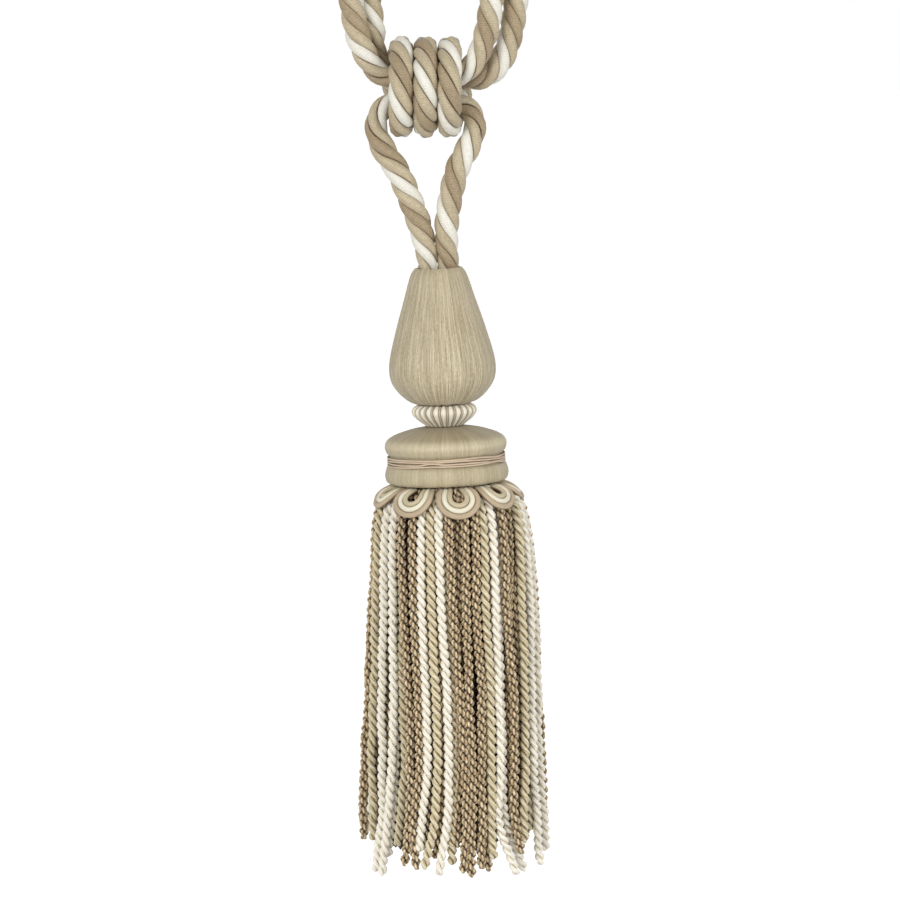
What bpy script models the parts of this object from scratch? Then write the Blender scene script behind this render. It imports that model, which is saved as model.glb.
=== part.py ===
"""A curtain tieback: a twisted rope embrace, its knot of wound rope, and the tassel that hangs from it.

Metres, +Z up, X to the right and Y away from the viewer. The origin is the point on which the
two end loops of the embrace hang, so the whole object lies below it.

The rope leaves the tassel's head as the left leg, runs through the knot, makes the right loop of
the embrace, runs back through the knot, makes the left loop, and comes down as the right leg.
"""

import math

import bmesh
import bpy
from mathutils import Vector

MM = 0.001
GAP = 0.3 * MM  # between pieces that lie on each other
MERGE = 0.01 * MM
ROUND_STEPS = 24  # sides of the turned pieces
ROPE_CURVE_STEPS = 12  # between two route points, before the tube's own points are chosen
OUTLINE_STEPS = 2  # between two points of a turned piece's side

# The rope, and the knot of three turns that holds it.
ROPE_RADIUS = 6.0 * MM
ROPE_IN_KNOT = 5.3 * MM  # the three passes are squeezed by the knot
ROPE_IN_HEAD = 4.5 * MM  # and the two ends by the head
ROPE_TAPER = 18.0 * MM  # the length over which it thins towards the head; half of it towards the knot
TAPER_ABOVE_HEAD = 2.0 * MM  # where it starts to widen
TAPER_BESIDE_KNOT = 4.0 * MM
ROPE_POINT_STEP = 30.0 * MM  # between the points of the tube where it runs straight
ROPE_BEND_STEP = 7.0 * MM  # and where it bends
ROPE_END_STEP = 3.0 * MM  # and in the head's seat
ROPE_BEND_ANGLE = math.radians(13.0)
LOOP_RADIUS = 24.0 * MM  # of the rope's middle, over the hook
LOOP_OFFSET = 6.3 * MM  # the left loop hangs in front of the hook point, the right one behind it
KNOT_LEFT, KNOT_RIGHT = -21.6 * MM, 12.8 * MM
KNOT_MIDDLE = Vector(((KNOT_LEFT + KNOT_RIGHT) / 2, 0.0, -335.0 * MM))
KNOT_TURNS = 3
KNOT_OUTER = 24.0 * MM
KNOT_BORE = 13.3 * MM
GROOVE_ANGLE = 55.0  # degrees from a turn's crown down to the groove beside it
KNOT_END_ANGLE = 75.0  # and down to the knot's end
KNOT_BORE_INSET = 0.3  # of a turn, from the knot's end to its bore's
KNOT_ARC_STEPS = 4
# The rope's three passes through the knot, from its middle. The slanting pass rises from the bottom
# on the left to the rear on the right; a second one is the same, turned half round the vertical.
SLANTING_PASS = (
    {"along": -11.5, "back": 1.0, "up": -6.9},
    {"along": -5.75, "back": 3.7, "up": -5.9},
    {"along": 0.0, "back": 6.1, "up": -3.5},
    {"along": 5.75, "back": 7.0, "up": -0.6},
    {"along": 11.5, "back": 6.6, "up": 2.4},
)
TOP_PASS = (
    {"along": 11.5, "back": -4.6, "up": 5.5},
    {"along": 5.75, "back": -2.5, "up": 6.6},
    {"along": 0.0, "back": 0.0, "up": 7.0},
    {"along": -5.75, "back": 2.5, "up": 6.6},
    {"along": -11.5, "back": 4.6, "up": 5.5},
)

# The tassel's head, bead and cap share one axis, which leans as the rope's pull makes it lean.
HEAD_TOP = Vector((1.6 * MM, 0.0, -420.5 * MM))
LEAN = math.radians(2.4)
PLUMB_DROP = 50.0 * MM  # how far the fringe's strands follow the lean before they hang
PLUMB_SHARE = 0.82  # of the lean that they then lose
HEAD_LENGTH = 64.8 * MM
ROPE_SEAT_RADIUS = 9.9 * MM
ROPE_SEAT_DEPTH = 4.2 * MM
ROPE_ENDS_APART = 4.85 * MM  # from the axis to the middle of each rope end
BEAD_LENGTH = 10.3 * MM
CAP_LENGTH = 26.4 * MM
CAP_CAVITY_RADIUS = 26.3 * MM
CAP_CAVITY_DEPTH = 8.0 * MM
BEAD_TOP = HEAD_LENGTH + GAP
CAP_TOP = BEAD_TOP + BEAD_LENGTH + GAP
CAP_BOTTOM = CAP_TOP + CAP_LENGTH

# The binding in the cap's waist.
BINDING_TURNS = 4
BINDING_CORD = 1.15 * MM
BINDING_MIDDLE = CAP_TOP + 15.2 * MM
WAIST_RADIUS = 27.1 * MM

# The drop-shaped gimp loops under the cap's edge.
GIMP_LOOPS = 9
GIMP_FIRST_ANGLE = math.radians(9.0)  # from the front, towards the right
GIMP_THICKNESS = 2.7 * MM
GIMP_BAND = 8.1 * MM  # three cords side by side
GIMP_BEND_RADIUS = 6.8 * MM  # of the band's middle, round the hole
GIMP_LEG = 8.7 * MM  # from its top edge to where it starts to turn, in front
GIMP_LEG_SHORTER = 4.6 * MM  # at the two sides
GIMP_LEGS_APART = 4.9 * MM  # from the loop's middle to that of each leg, at the top
SKIRT_RADIUS_AT_LOOPS = 32.8 * MM
# The line that the loops' middle surface follows, from under the cap's edge down over the skirt:
# in front and behind, and at the two sides, where the loops stand out further.
GIMP_FLARE = (
    {"radius": 24.4, "drop": 1.75, "side_radius": 24.4, "side_drop": 1.75},
    {"radius": 27.8, "drop": 2.5, "side_radius": 27.8, "side_drop": 2.5},
    {"radius": 31.4, "drop": 4.1, "side_radius": 31.2, "side_drop": 4.1},
    {"radius": 34.0, "drop": 7.0, "side_radius": 33.9, "side_drop": 6.6},
    {"radius": 35.5, "drop": 10.8, "side_radius": 35.7, "side_drop": 9.8},
    {"radius": 36.2, "drop": 16.0, "side_radius": 36.8, "side_drop": 13.8},
)

# The bullion fringe: a heading in the cap's cavity, and two rows of strands.
STRANDS = 42
STRAND_SHARE = 0.83  # of the pitch that a strand takes up; the rest is the gap beside it
HEADING_TOP = CAP_BOTTOM - CAP_CAVITY_DEPTH + GAP
HEADING_BOTTOM = HEADING_TOP + 3.5 * MM
INNER_ROW = (11.5 * MM, 15.2 * MM)
OUTER_ROW = (17.0 * MM, 20.9 * MM)
FRINGE_LENGTH = 289.5 * MM  # from the top of the head to the longest strand's end
UNEVEN_ENDS = 3.2 * MM  # the height of each of the two waves in which the strands' ends wander
END_WAVES = (
    {"per_strand": 2.4, "per_row": 1.1},
    {"per_strand": 5.3, "per_row": 2.3},
)
# Sections of a strand: the drop below the cap's edge, the outer radius and the thickness there.
OUTER_SECTIONS = (
    {"drop": 3.6, "radius": 22.4, "thick": 3.6},
    {"drop": 7.4, "radius": 31.0, "thick": 5.5},
    {"drop": 16.8, "radius": 34.3, "thick": 4.4},
    {"drop": 21.8, "radius": 37.8, "thick": 4.6},
    {"drop": 72.0, "radius": 41.6, "thick": 4.6},
    {"drop": 186.0, "radius": 46.8, "thick": 4.6},
)
INNER_SECTIONS = (
    {"drop": 4.0, "radius": 19.0, "thick": 3.6},
    {"drop": 22.0, "radius": 31.4, "thick": 4.6},
    {"drop": 186.0, "radius": 39.4, "thick": 4.4},
)

# Each finish's colour and roughness.
FINISHES = {
    "rope_satin": ((0.58, 0.50, 0.37), 0.5),
    "floss_satin": ((0.53, 0.46, 0.32), 0.45),
    "striped_floss": ((0.70, 0.65, 0.53), 0.5),
    "binding_cord": ((0.55, 0.43, 0.31), 0.55),
    "gimp_cord": ((0.62, 0.56, 0.44), 0.55),
    "bullion_yarn": ((0.50, 0.42, 0.29), 0.7),
}


def new_material(name, colour, roughness):
    """A matt cloth finish of one colour."""
    material = bpy.data.materials.new(name)
    material.use_nodes = True
    shader = material.node_tree.nodes["Principled BSDF"]
    shader.inputs["Base Color"].default_value = (*colour, 1.0)
    shader.inputs["Roughness"].default_value = roughness
    shader.inputs["Metallic"].default_value = 0.0
    return material


def add_object(name, data, collection, material, parent=None):
    """Link a new object, give it its material, and hang it on its parent."""
    obj = bpy.data.objects.new(name, data)
    collection.objects.link(obj)
    data.materials.append(material)
    obj.parent = parent
    return obj


def smooth_points(points, per_span):
    """Points on a centripetal Catmull-Rom curve through the given ones, ends included."""
    padded = [points[0] * 2 - points[1], *points, points[-1] * 2 - points[-2]]
    spans = [math.sqrt((there - here).length) for here, there in zip(padded, padded[1:])]

    def slope(spot):
        last, following = spans[spot - 1], spans[spot]
        into = (padded[spot] - padded[spot - 1]) / last
        onward = (padded[spot + 1] - padded[spot]) / following
        return (into * following + onward * last) / (last + following)

    out = []
    for spot in range(1, len(points)):
        start, end = padded[spot], padded[spot + 1]
        leaving, arriving = slope(spot) * spans[spot], slope(spot + 1) * spans[spot]
        for step in range(per_span):
            t = step / per_span
            rise = t * t * (3.0 - 2.0 * t)
            out.append(
                start.lerp(end, rise)
                + leaving * (t * (1.0 - t) * (1.0 - t))
                - arriving * (t * t * (1.0 - t))
            )
    return [*out, points[-1].copy()]


def turned(name, outline, collection, material, parent):
    """A solid turned about its own Z; the (radius, height) outline runs down its outer side."""
    mesh = bpy.data.meshes.new(name)
    mesh.from_pydata(
        [(radius, 0.0, height) for radius, height in outline],
        [(i, i + 1) for i in range(len(outline) - 1)],
        [],
    )
    obj = add_object(name, mesh, collection, material, parent)
    screw = obj.modifiers.new("turn", "SCREW")
    screw.axis = "Z"
    screw.steps = screw.render_steps = ROUND_STEPS
    screw.use_merge_vertices = True
    screw.merge_threshold = MERGE
    screw.use_smooth_shade = True
    weld = obj.modifiers.new("close", "WELD")
    weld.merge_threshold = MERGE
    return obj


def curved_outline(points):
    """The (radius, height) pairs of a smooth side through its (radius, depth) points in millimetres."""
    curve = smooth_points([Vector((radius, -depth)) * MM for radius, depth in points], OUTLINE_STEPS)
    return [tuple(point) for point in curve]


# ---------------------------------------------------------------- rope


def knot_pass(rows, side=1):
    """One of the rope's passes through the knot; side -1 turns it half round the vertical."""
    return [
        KNOT_MIDDLE + Vector((side * row["along"], side * row["back"], row["up"])) * MM
        for row in rows
    ]


def hook_loop(offset):
    """The rope's way over the hook, from the right to the left."""
    points = []
    for angle in (0, 36, 72, 108, 144, 180):
        turn = math.radians(angle)
        x = LOOP_RADIUS * math.cos(turn)
        z = ROPE_RADIUS - LOOP_RADIUS + LOOP_RADIUS * math.sin(turn)
        points.append(Vector((x, offset, z)))
    return points


def route(*points):
    """Route points given in millimetres."""
    return [Vector(p) * MM for p in points]


def rope_end(side, depth):
    """Where a rope end stands in the head, at a depth below the head's top."""
    along = Vector((math.sin(LEAN), 0.0, -math.cos(LEAN)))
    across = Vector((math.cos(LEAN), 0.0, math.sin(LEAN)))
    return HEAD_TOP + across * (side * ROPE_ENDS_APART) + along * depth


def rope_route():
    """The rope's own points, from the left end in the head round to the right one."""
    left_leg = route(
        (-5.2, 0.0, -409.5),
        (-7.4, -0.3, -401.5),
        (-11.6, -1.0, -389.5),
        (-17.4, -1.6, -375.0),
        (-24.2, -1.4, -364.5),
        (-27.9, -0.8, -354.0),
        (-26.3, -0.2, -347.4),
        (-21.6, 0.3, -342.9),
    )
    right_outer_up = route(
        (12.8, 6.2, -331.0),
        (22.4, 6.0, -330.6),
        (30.8, 5.4, -323.7),
        (35.8, 5.0, -311.0),
        (38.5, 4.8, -294.0),
        (42.8, 4.6, -262.0),
        (44.6, 5.0, -222.0),
        (42.6, 5.6, -172.0),
        (36.6, 6.0, -116.0),
        (29.0, 6.3, -62.0),
    )
    right_inner_down = route(
        (-20.4, 6.3, -50.0),
        (0.0, 6.6, -98.0),
        (17.6, 5.0, -145.0),
        (28.2, 1.0, -190.0),
        (31.6, -3.4, -232.0),
        (29.8, -5.2, -266.0),
        (26.8, -5.4, -294.0),
        (24.4, -5.6, -309.0),
        (21.0, -6.0, -318.8),
        (16.8, -6.1, -325.6),
        (12.0, -5.4, -329.4),
    )
    left_inner_up = route(
        (-20.8, 5.4, -329.4),
        (-25.6, 6.1, -325.0),
        (-28.4, 5.8, -317.6),
        (-29.2, 5.2, -309.0),
        (-31.0, 4.8, -294.0),
        (-33.0, 3.4, -266.0),
        (-32.4, 0.0, -228.0),
        (-28.4, -3.6, -188.0),
        (-17.6, -5.8, -145.0),
        (0.0, -6.6, -98.0),
        (20.4, -6.3, -50.0),
    )
    left_outer_down = route(
        (-29.0, -6.3, -62.0),
        (-36.8, -6.0, -116.0),
        (-43.2, -5.8, -172.0),
        (-45.4, -5.8, -222.0),
        (-43.6, -5.4, -262.0),
        (-39.4, -5.0, -294.0),
        (-36.2, -5.4, -311.0),
        (-31.0, -6.0, -322.6),
        (-25.6, -6.3, -329.0),
    )
    right_leg = route(
        (12.8, -0.3, -342.9),
        (17.5, 0.1, -347.4),
        (19.1, 0.0, -354.0),
        (16.0, -0.2, -363.0),
        (11.0, -0.5, -373.0),
        (8.0, -0.8, -386.0),
        (6.2, -0.6, -399.0),
        (6.2, 0.0, -409.5),
    )
    depth = ROPE_SEAT_DEPTH - 2.0 * GAP
    return [
        rope_end(-1, depth),
        rope_end(-1, 0.0),
        rope_end(-1, -ROPE_SEAT_DEPTH),
        *left_leg,
        *knot_pass(SLANTING_PASS),
        *right_outer_up,
        *hook_loop(LOOP_OFFSET),
        *right_inner_down,
        *knot_pass(TOP_PASS),
        *left_inner_up,
        *hook_loop(-LOOP_OFFSET),
        *left_outer_down,
        *reversed(knot_pass(SLANTING_PASS, -1)),
        *right_leg,
        rope_end(1, -ROPE_SEAT_DEPTH),
        rope_end(1, 0.0),
        rope_end(1, depth),
    ]


def rope_radius(point):
    """The rope's radius: full where it hangs free, less in the knot and at the head."""
    above_head = (point.z - HEAD_TOP.z - TAPER_ABOVE_HEAD) / ROPE_TAPER
    at_head = ROPE_IN_HEAD + (ROPE_RADIUS - ROPE_IN_HEAD) * min(max(above_head, 0.0), 1.0)
    if abs(point.z - KNOT_MIDDLE.z) > KNOT_OUTER:
        return at_head
    beside_knot = max(KNOT_LEFT - point.x, point.x - KNOT_RIGHT, 0.0) - TAPER_BESIDE_KNOT
    beside_knot /= ROPE_TAPER / 2
    return ROPE_IN_KNOT + (ROPE_RADIUS - ROPE_IN_KNOT) * min(max(beside_knot, 0.0), 1.0)


def thinned(points):
    """Fewer points on the same curve: close together in its bends, further apart where it runs straight."""
    kept = [points[0]]
    for point, after in zip(points[1:], points[2:]):
        run = (point - kept[-1]).length
        turn = (point - kept[-1]).angle(after - point, 0.0)
        in_seat = point.z < HEAD_TOP.z + ROPE_SEAT_DEPTH and run > ROPE_END_STEP
        bend = turn > ROPE_BEND_ANGLE and run > ROPE_BEND_STEP
        if in_seat or bend or run > ROPE_POINT_STEP:
            kept.append(point)
    return [*kept, points[-1]]


def make_rope(collection, material):
    curve = bpy.data.curves.new("embrace_rope", "CURVE")
    curve.dimensions = "3D"
    curve.bevel_depth = ROPE_RADIUS
    curve.bevel_resolution = 2
    curve.use_fill_caps = True
    points = thinned(smooth_points(rope_route(), ROPE_CURVE_STEPS))
    spline = curve.splines.new("POLY")
    spline.points.add(len(points) - 1)
    for spot, point in zip(spline.points, points):
        spot.co = (*point, 1.0)
        spot.radius = rope_radius(point) / ROPE_RADIUS
    return add_object("embrace_rope", curve, collection, material)


def make_knot(collection, material):
    """Three turns of rope side by side as one turned ring, its axis lying along X."""
    pitch = (KNOT_RIGHT - KNOT_LEFT) / KNOT_TURNS
    middle = (KNOT_OUTER + KNOT_BORE) / 2
    half = (KNOT_OUTER - KNOT_BORE) / 2
    top = (KNOT_RIGHT - KNOT_LEFT) / 2
    outline = [(middle, top)]
    for turn in range(KNOT_TURNS):
        centre = top - pitch * (turn + 0.5)
        first = KNOT_END_ANGLE if turn == 0 else GROOVE_ANGLE
        last = -KNOT_END_ANGLE if turn == KNOT_TURNS - 1 else -GROOVE_ANGLE
        for step in range(KNOT_ARC_STEPS + 1):
            angle = math.radians(first + (last - first) * step / KNOT_ARC_STEPS)
            outline.append((middle + half * math.cos(angle), centre + pitch / 2 * math.sin(angle)))
    outline.append((middle, -top))
    for height in (KNOT_BORE_INSET * pitch - top, top - KNOT_BORE_INSET * pitch):
        outline.append((KNOT_BORE, height))
    outline.append((middle, top))
    obj = turned("rope_wrap", outline, collection, material, None)
    obj.location = KNOT_MIDDLE
    obj.rotation_euler = (0.0, math.radians(90.0), 0.0)
    return obj


# ---------------------------------------------------------------- head, bead, cap and binding


def make_head(collection, material, axis):
    """A pear with a flat top, in which a shallow seat holds the two rope ends."""
    flank = [(11.1, 0.0), (12.9, 2.4), (16.8, 14.5), (22.0, 31.5), (25.3, 46.0)]
    underside = [(24.6, 53.5), (21.2, 59.0), (16.2, 63.4), (12.0, HEAD_LENGTH / MM)]
    side = curved_outline([*flank, *underside])
    seat = [(0.0, -ROPE_SEAT_DEPTH), (ROPE_SEAT_RADIUS, -ROPE_SEAT_DEPTH), (ROPE_SEAT_RADIUS, 0.0)]
    return turned("head_bulb", [*seat, *side, (0.0, -HEAD_LENGTH)], collection, material, axis)


def make_bead(collection, material, axis):
    """A flat-topped bead, fullest above its middle, that narrows to the cap."""
    side = curved_outline([(12.6, 0.0), (15.0, 1.6), (15.6, 4.0), (14.2, 6.6), (8.8, BEAD_LENGTH / MM)])
    obj = turned("striped_bead", [(0.0, 0.0), *side, (0.0, -BEAD_LENGTH)], collection, material, axis)
    obj.location = (0.0, 0.0, -BEAD_TOP)
    return obj


def make_cap(collection, material, axis):
    """A domed cap with a waist for the binding, open below for the fringe's heading."""
    dome = curved_outline([(9.0, 0.0), (18.4, 1.8), (26.6, 5.3), (29.0, 8.7), (28.4, 11.8)])
    foot = curved_outline([(28.5, 18.4), (29.5, 22.1), (28.9, 25.3), (27.6, CAP_LENGTH / MM)])
    band = BINDING_MIDDLE - CAP_TOP
    half_band = BINDING_TURNS * BINDING_CORD / 2 + GAP
    waist = [(WAIST_RADIUS, -(band - half_band)), (WAIST_RADIUS, -(band + half_band))]
    cavity = [
        (CAP_CAVITY_RADIUS, -CAP_LENGTH),
        (CAP_CAVITY_RADIUS, -CAP_LENGTH + CAP_CAVITY_DEPTH),
        (0.0, -CAP_LENGTH + CAP_CAVITY_DEPTH),
    ]
    obj = turned("skirt_cap", [(0.0, 0.0), *dome, *waist, *foot, *cavity], collection, material, axis)
    obj.location = (0.0, 0.0, -CAP_TOP)
    return obj


def make_binding(collection, material, axis):
    """The turns of thin cord as one ring, a ridge for each turn."""
    half = BINDING_TURNS * BINDING_CORD / 2
    inner = WAIST_RADIUS + GAP
    outline = [(inner, half)]
    for turn in range(BINDING_TURNS):
        centre = half - BINDING_CORD * (turn + 0.5)
        outline.append((inner + BINDING_CORD, centre))
        if turn < BINDING_TURNS - 1:
            outline.append((inner + 0.6 * BINDING_CORD, centre - 0.5 * BINDING_CORD))
    outline += [(inner, -half), (inner, half)]
    obj = turned("waist_binding", outline, collection, material, axis)
    obj.location = (0.0, 0.0, -BINDING_MIDDLE)
    return obj


# ---------------------------------------------------------------- gimp loops


def gimp_band(along, across, leg):
    """A point of the flat loop, as (x, length down the loop), from shares along and across its band."""
    arc = math.pi * GIMP_BEND_RADIUS
    length = 2.0 * leg + arc
    run = along * length
    if run < leg or run > length - leg:
        side = -1.0 if run < leg else 1.0
        down = run if side < 0.0 else length - run
        share = down / leg
        ease = share * share * (3.0 - 2.0 * share)
        middle = GIMP_LEGS_APART + (GIMP_BEND_RADIUS - GIMP_LEGS_APART) * ease
        return side * middle + across * GIMP_BAND / 2, down
    turn = math.pi - (run - leg) / GIMP_BEND_RADIUS
    radius = GIMP_BEND_RADIUS - across * GIMP_BAND / 2
    return radius * math.cos(turn), leg + radius * math.sin(turn)


def flared(down, facing):
    """The (radius, drop) of the loops' middle surface at a length down from their top edge."""
    line = []
    for row in GIMP_FLARE:
        front = Vector((row["radius"], row["drop"])) * MM
        side = Vector((row["side_radius"], row["side_drop"])) * MM
        line.append(front.lerp(side, abs(math.sin(facing))))
    for start, end in zip(line, line[1:]):
        step = (end - start).length
        if down <= step or end == line[-1]:
            return start + (end - start) * (down / step)
        down -= step
    return line[-1]


def make_gimp_loop(number, collection, material, axis):
    """A drop-shaped loop: a flat band bent round its hole, laid on the skirt's flare and made solid."""
    shape = bmesh.new()
    bmesh.ops.create_grid(shape, x_segments=12, y_segments=1, size=0.5)
    facing = GIMP_FIRST_ANGLE + (number - 1) * math.tau / GIMP_LOOPS
    leg = GIMP_LEG - GIMP_LEG_SHORTER * math.sin(facing) ** 2
    for vert in shape.verts:
        x, down = gimp_band(vert.co.x + 0.5, 2.0 * vert.co.y, leg)
        radius, drop = flared(down, facing)
        angle = facing + x / SKIRT_RADIUS_AT_LOOPS
        vert.co = (radius * math.sin(angle), -radius * math.cos(angle), -drop)
    name = f"gimp_loop_{number}"
    mesh = bpy.data.meshes.new(name)
    shape.to_mesh(mesh)
    shape.free()
    obj = add_object(name, mesh, collection, material, axis)
    obj.location = (0.0, 0.0, -CAP_BOTTOM)
    solid = obj.modifiers.new("thickness", "SOLIDIFY")
    solid.thickness = GIMP_THICKNESS
    solid.offset = 0.0
    return obj


# ---------------------------------------------------------------- fringe


def strand_end(spot, row):
    """The drop at which the strand in this direction ends; uneven, and the same each time."""
    number = round(math.atan2(spot.x, -spot.y) / (math.tau / STRANDS))
    rise = sum(1.0 - math.sin(number * wave["per_strand"] + row * wave["per_row"]) for wave in END_WAVES)
    return FRINGE_LENGTH - CAP_BOTTOM - UNEVEN_ENDS * rise


def hang_shift(drop):
    """The sideways shift that lets the strands hang nearly straight down from the leaning cap."""
    return -math.tan(PLUMB_SHARE * LEAN) * max(0.0, drop - PLUMB_DROP)


def draw_strands(shape, cells, sections, row):
    """Extrude cells of the heading's underside, section by section, into the strands of one row."""
    shift = 0.0
    for section in sections:
        cells = bmesh.ops.extrude_discrete_faces(shape, faces=cells)["faces"]
        drop = section["drop"] * MM
        for face in cells:
            spots = [Vector((vert.co.x - shift, vert.co.y)) for vert in face.verts]
            middle = sum(spots, Vector((0.0, 0.0))) / len(spots)
            end = strand_end(middle, row) if section is sections[-1] else drop
            for vert, spot in zip(face.verts, spots):
                inside = 0.0 if spot.length > middle.length else section["thick"]
                flat = spot.normalized() * (section["radius"] - inside) * MM
                vert.co = (flat.x + hang_shift(drop), flat.y, -CAP_BOTTOM - end)
        shift = hang_shift(drop)


def make_fringe(collection, material, axis):
    """The heading ring, with a strand drawn down from every second cell of its underside."""
    shape = bmesh.new()
    pitch = math.tau / STRANDS
    half = pitch * STRAND_SHARE / 2
    angles = [pitch * number + side * half for number in range(STRANDS) for side in (-1.0, 1.0)]
    radii = (*INNER_ROW, *OUTER_ROW)

    def ring_vert(radius, angle, depth):
        return shape.verts.new((radius * math.sin(angle), -radius * math.cos(angle), -depth))

    low = [[ring_vert(radius, angle, HEADING_BOTTOM) for radius in radii] for angle in angles]
    high = [[ring_vert(radius, angle, HEADING_TOP) for radius in (radii[0], radii[-1])] for angle in angles]
    cells = {"inner": [], "outer": []}
    for here in range(len(angles)):
        there = (here + 1) % len(angles)
        shape.faces.new((high[here][0], high[here][1], high[there][1], high[there][0]))
        shape.faces.new((low[here][3], low[there][3], high[there][1], high[here][1]))
        shape.faces.new((low[here][0], high[here][0], high[there][0], low[there][0]))
        for cell, row in enumerate(("inner", None, "outer")):
            corners = (low[here][cell], low[there][cell], low[there][cell + 1], low[here][cell + 1])
            face = shape.faces.new(corners)
            if row and here % 2 == 0:
                cells[row].append(face)
    draw_strands(shape, cells["outer"], OUTER_SECTIONS, 0)
    draw_strands(shape, cells["inner"], INNER_SECTIONS, 1)
    bmesh.ops.recalc_face_normals(shape, faces=shape.faces)
    mesh = bpy.data.meshes.new("bullion_fringe")
    shape.to_mesh(mesh)
    shape.free()
    return add_object("bullion_fringe", mesh, collection, material, axis)


# ---------------------------------------------------------------- the whole tieback


def main():
    for obj in list(bpy.data.objects):
        bpy.data.objects.remove(obj)
    collection = bpy.data.collections.new("curtain_tieback_tassel")
    bpy.context.scene.collection.children.link(collection)

    finishes = {name: new_material(name, *finish) for name, finish in FINISHES.items()}

    axis = bpy.data.objects.new("tassel_axis", None)
    collection.objects.link(axis)
    axis.location = HEAD_TOP
    axis.rotation_euler = (0.0, -LEAN, 0.0)

    make_rope(collection, finishes["rope_satin"])
    make_knot(collection, finishes["rope_satin"])
    make_head(collection, finishes["floss_satin"], axis)
    make_bead(collection, finishes["striped_floss"], axis)
    make_cap(collection, finishes["floss_satin"], axis)
    make_binding(collection, finishes["binding_cord"], axis)
    for number in range(1, GIMP_LOOPS + 1):
        make_gimp_loop(number, collection, finishes["gimp_cord"], axis)
    make_fringe(collection, finishes["bullion_yarn"], axis)


main()
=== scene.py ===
import math

import bpy
import numpy as np
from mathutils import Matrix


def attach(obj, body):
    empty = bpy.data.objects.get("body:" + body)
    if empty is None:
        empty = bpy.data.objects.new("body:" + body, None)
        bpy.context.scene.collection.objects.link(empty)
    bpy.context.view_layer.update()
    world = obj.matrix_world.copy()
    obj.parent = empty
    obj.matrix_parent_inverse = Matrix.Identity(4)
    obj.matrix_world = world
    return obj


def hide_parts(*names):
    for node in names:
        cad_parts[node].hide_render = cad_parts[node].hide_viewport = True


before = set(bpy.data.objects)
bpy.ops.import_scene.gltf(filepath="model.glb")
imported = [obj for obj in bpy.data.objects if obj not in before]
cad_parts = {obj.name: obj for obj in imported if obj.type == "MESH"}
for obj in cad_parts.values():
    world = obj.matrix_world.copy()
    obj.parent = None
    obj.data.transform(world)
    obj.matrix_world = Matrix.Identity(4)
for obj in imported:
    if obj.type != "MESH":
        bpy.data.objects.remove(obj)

# A curtain tieback: a rope embrace of four satin strands, its knot of wound rope, and the tassel.
# Metres, +Z up, X to the right and Y away from the viewer, as in the frame.

MM = 0.001
TURN = math.tau
WHITE = (1.0, 1.0, 1.0, 1.0)
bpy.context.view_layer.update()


def table(columns, *rows):
    """A short table: each row's values by the names of the columns."""
    names = columns.split()
    return [dict(zip(names, row)) for row in rows]


def at_drops(rows, column, drops):
    """A column of a table read off at some drops, in between its rows."""
    return np.interp(drops, [row["drop"] for row in rows], [row[column] for row in rows])


def ramp(value, start, over):
    """How far a value has come from the start of a stretch: 0 before it, and 1 after it."""
    return np.clip((value - start) / over, 0.0, 1.0)


def eased(share):
    """A share from 0 to 1 that starts and ends gently."""
    return share * share * (3.0 - 2.0 * share)


# -------------------- camera, floor and light

CAMERA_PLACE = (0.0072, -1.900, -0.308)
CAMERA_PITCH = math.radians(84.0)  # six degrees below the level
CAMERA_LENS = 160.0
CAMERA_SENSOR = 36.0
CAMERA_REACH = (0.05, 200.0)
FLOOR_HEIGHT = -0.80
FLOOR_SIZE = 60.0
FLOOR_GREY = 0.9
FLOOR_ROUGHNESS = 0.9
FLOOR_GLOW = 0.53  # so that the floor reads as pale as the backdrop
BACKDROP_WHITE = 1.0
LIGHT_LEVEL = 0.77  # of the studio round the object
LIGHT_OVERHEAD = 0.45
LAMP_TARGET = (0.0, 0.0, -0.45)
LAMP_SIZE = 1.3
LAMPS = table(
    "name place power",
    ("front_box", (-1.2, -2.6, 0.5), 40.0),
    ("side_box", (1.9, -1.6, 0.0), 17.0),
)


def make_camera():
    data = bpy.data.cameras.new("studio_camera")
    data.lens = CAMERA_LENS
    data.sensor_width = CAMERA_SENSOR
    data.clip_start, data.clip_end = CAMERA_REACH
    camera = bpy.data.objects.new("studio_camera", data)
    camera.location = CAMERA_PLACE
    camera.rotation_euler = (CAMERA_PITCH, 0.0, 0.0)
    bpy.context.scene.collection.objects.link(camera)
    bpy.context.scene.camera = camera


def make_lamp(name, place, power):
    """A square lamp that faces the tassel and is not seen itself."""
    data = bpy.data.lights.new(name, "AREA")
    data.shape = "SQUARE"
    data.size = LAMP_SIZE
    data.energy = power
    lamp = bpy.data.objects.new(name, data)
    lamp.location = place
    x, y, z = np.array(place) - np.array(LAMP_TARGET)
    lamp.rotation_euler = (math.atan2(math.hypot(x, y), z), 0.0, math.atan2(x, -y))
    lamp.visible_camera = False
    bpy.context.scene.collection.objects.link(lamp)


def make_light():
    """White light from all round, weaker from above; the backdrop itself is seen as pure white."""
    world = bpy.data.worlds.new("studio")
    bpy.context.scene.world = world
    world.use_nodes = True
    tree = world.node_tree
    way = node(tree, "ShaderNodeTexCoord").outputs["Generated"]
    height = node(tree, "ShaderNodeSeparateXYZ", {0: way}).outputs["Z"]
    dimming = {"Value": height, "To Min": LIGHT_LEVEL, "To Max": LIGHT_OVERHEAD}
    light = node(tree, "ShaderNodeMapRange", dimming).outputs[0]
    seen = node(tree, "ShaderNodeLightPath").outputs["Is Camera Ray"]
    missing = calc(tree, "SUBTRACT", BACKDROP_WHITE, light)
    strength = calc(tree, "ADD", light, calc(tree, "MULTIPLY", seen, missing))
    feed(tree, tree.nodes["Background"], {"Color": WHITE, "Strength": strength})
    for lamp in LAMPS:
        make_lamp(**lamp)
    bpy.context.scene.view_settings.view_transform = "Standard"


# -------------------- lines


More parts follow.
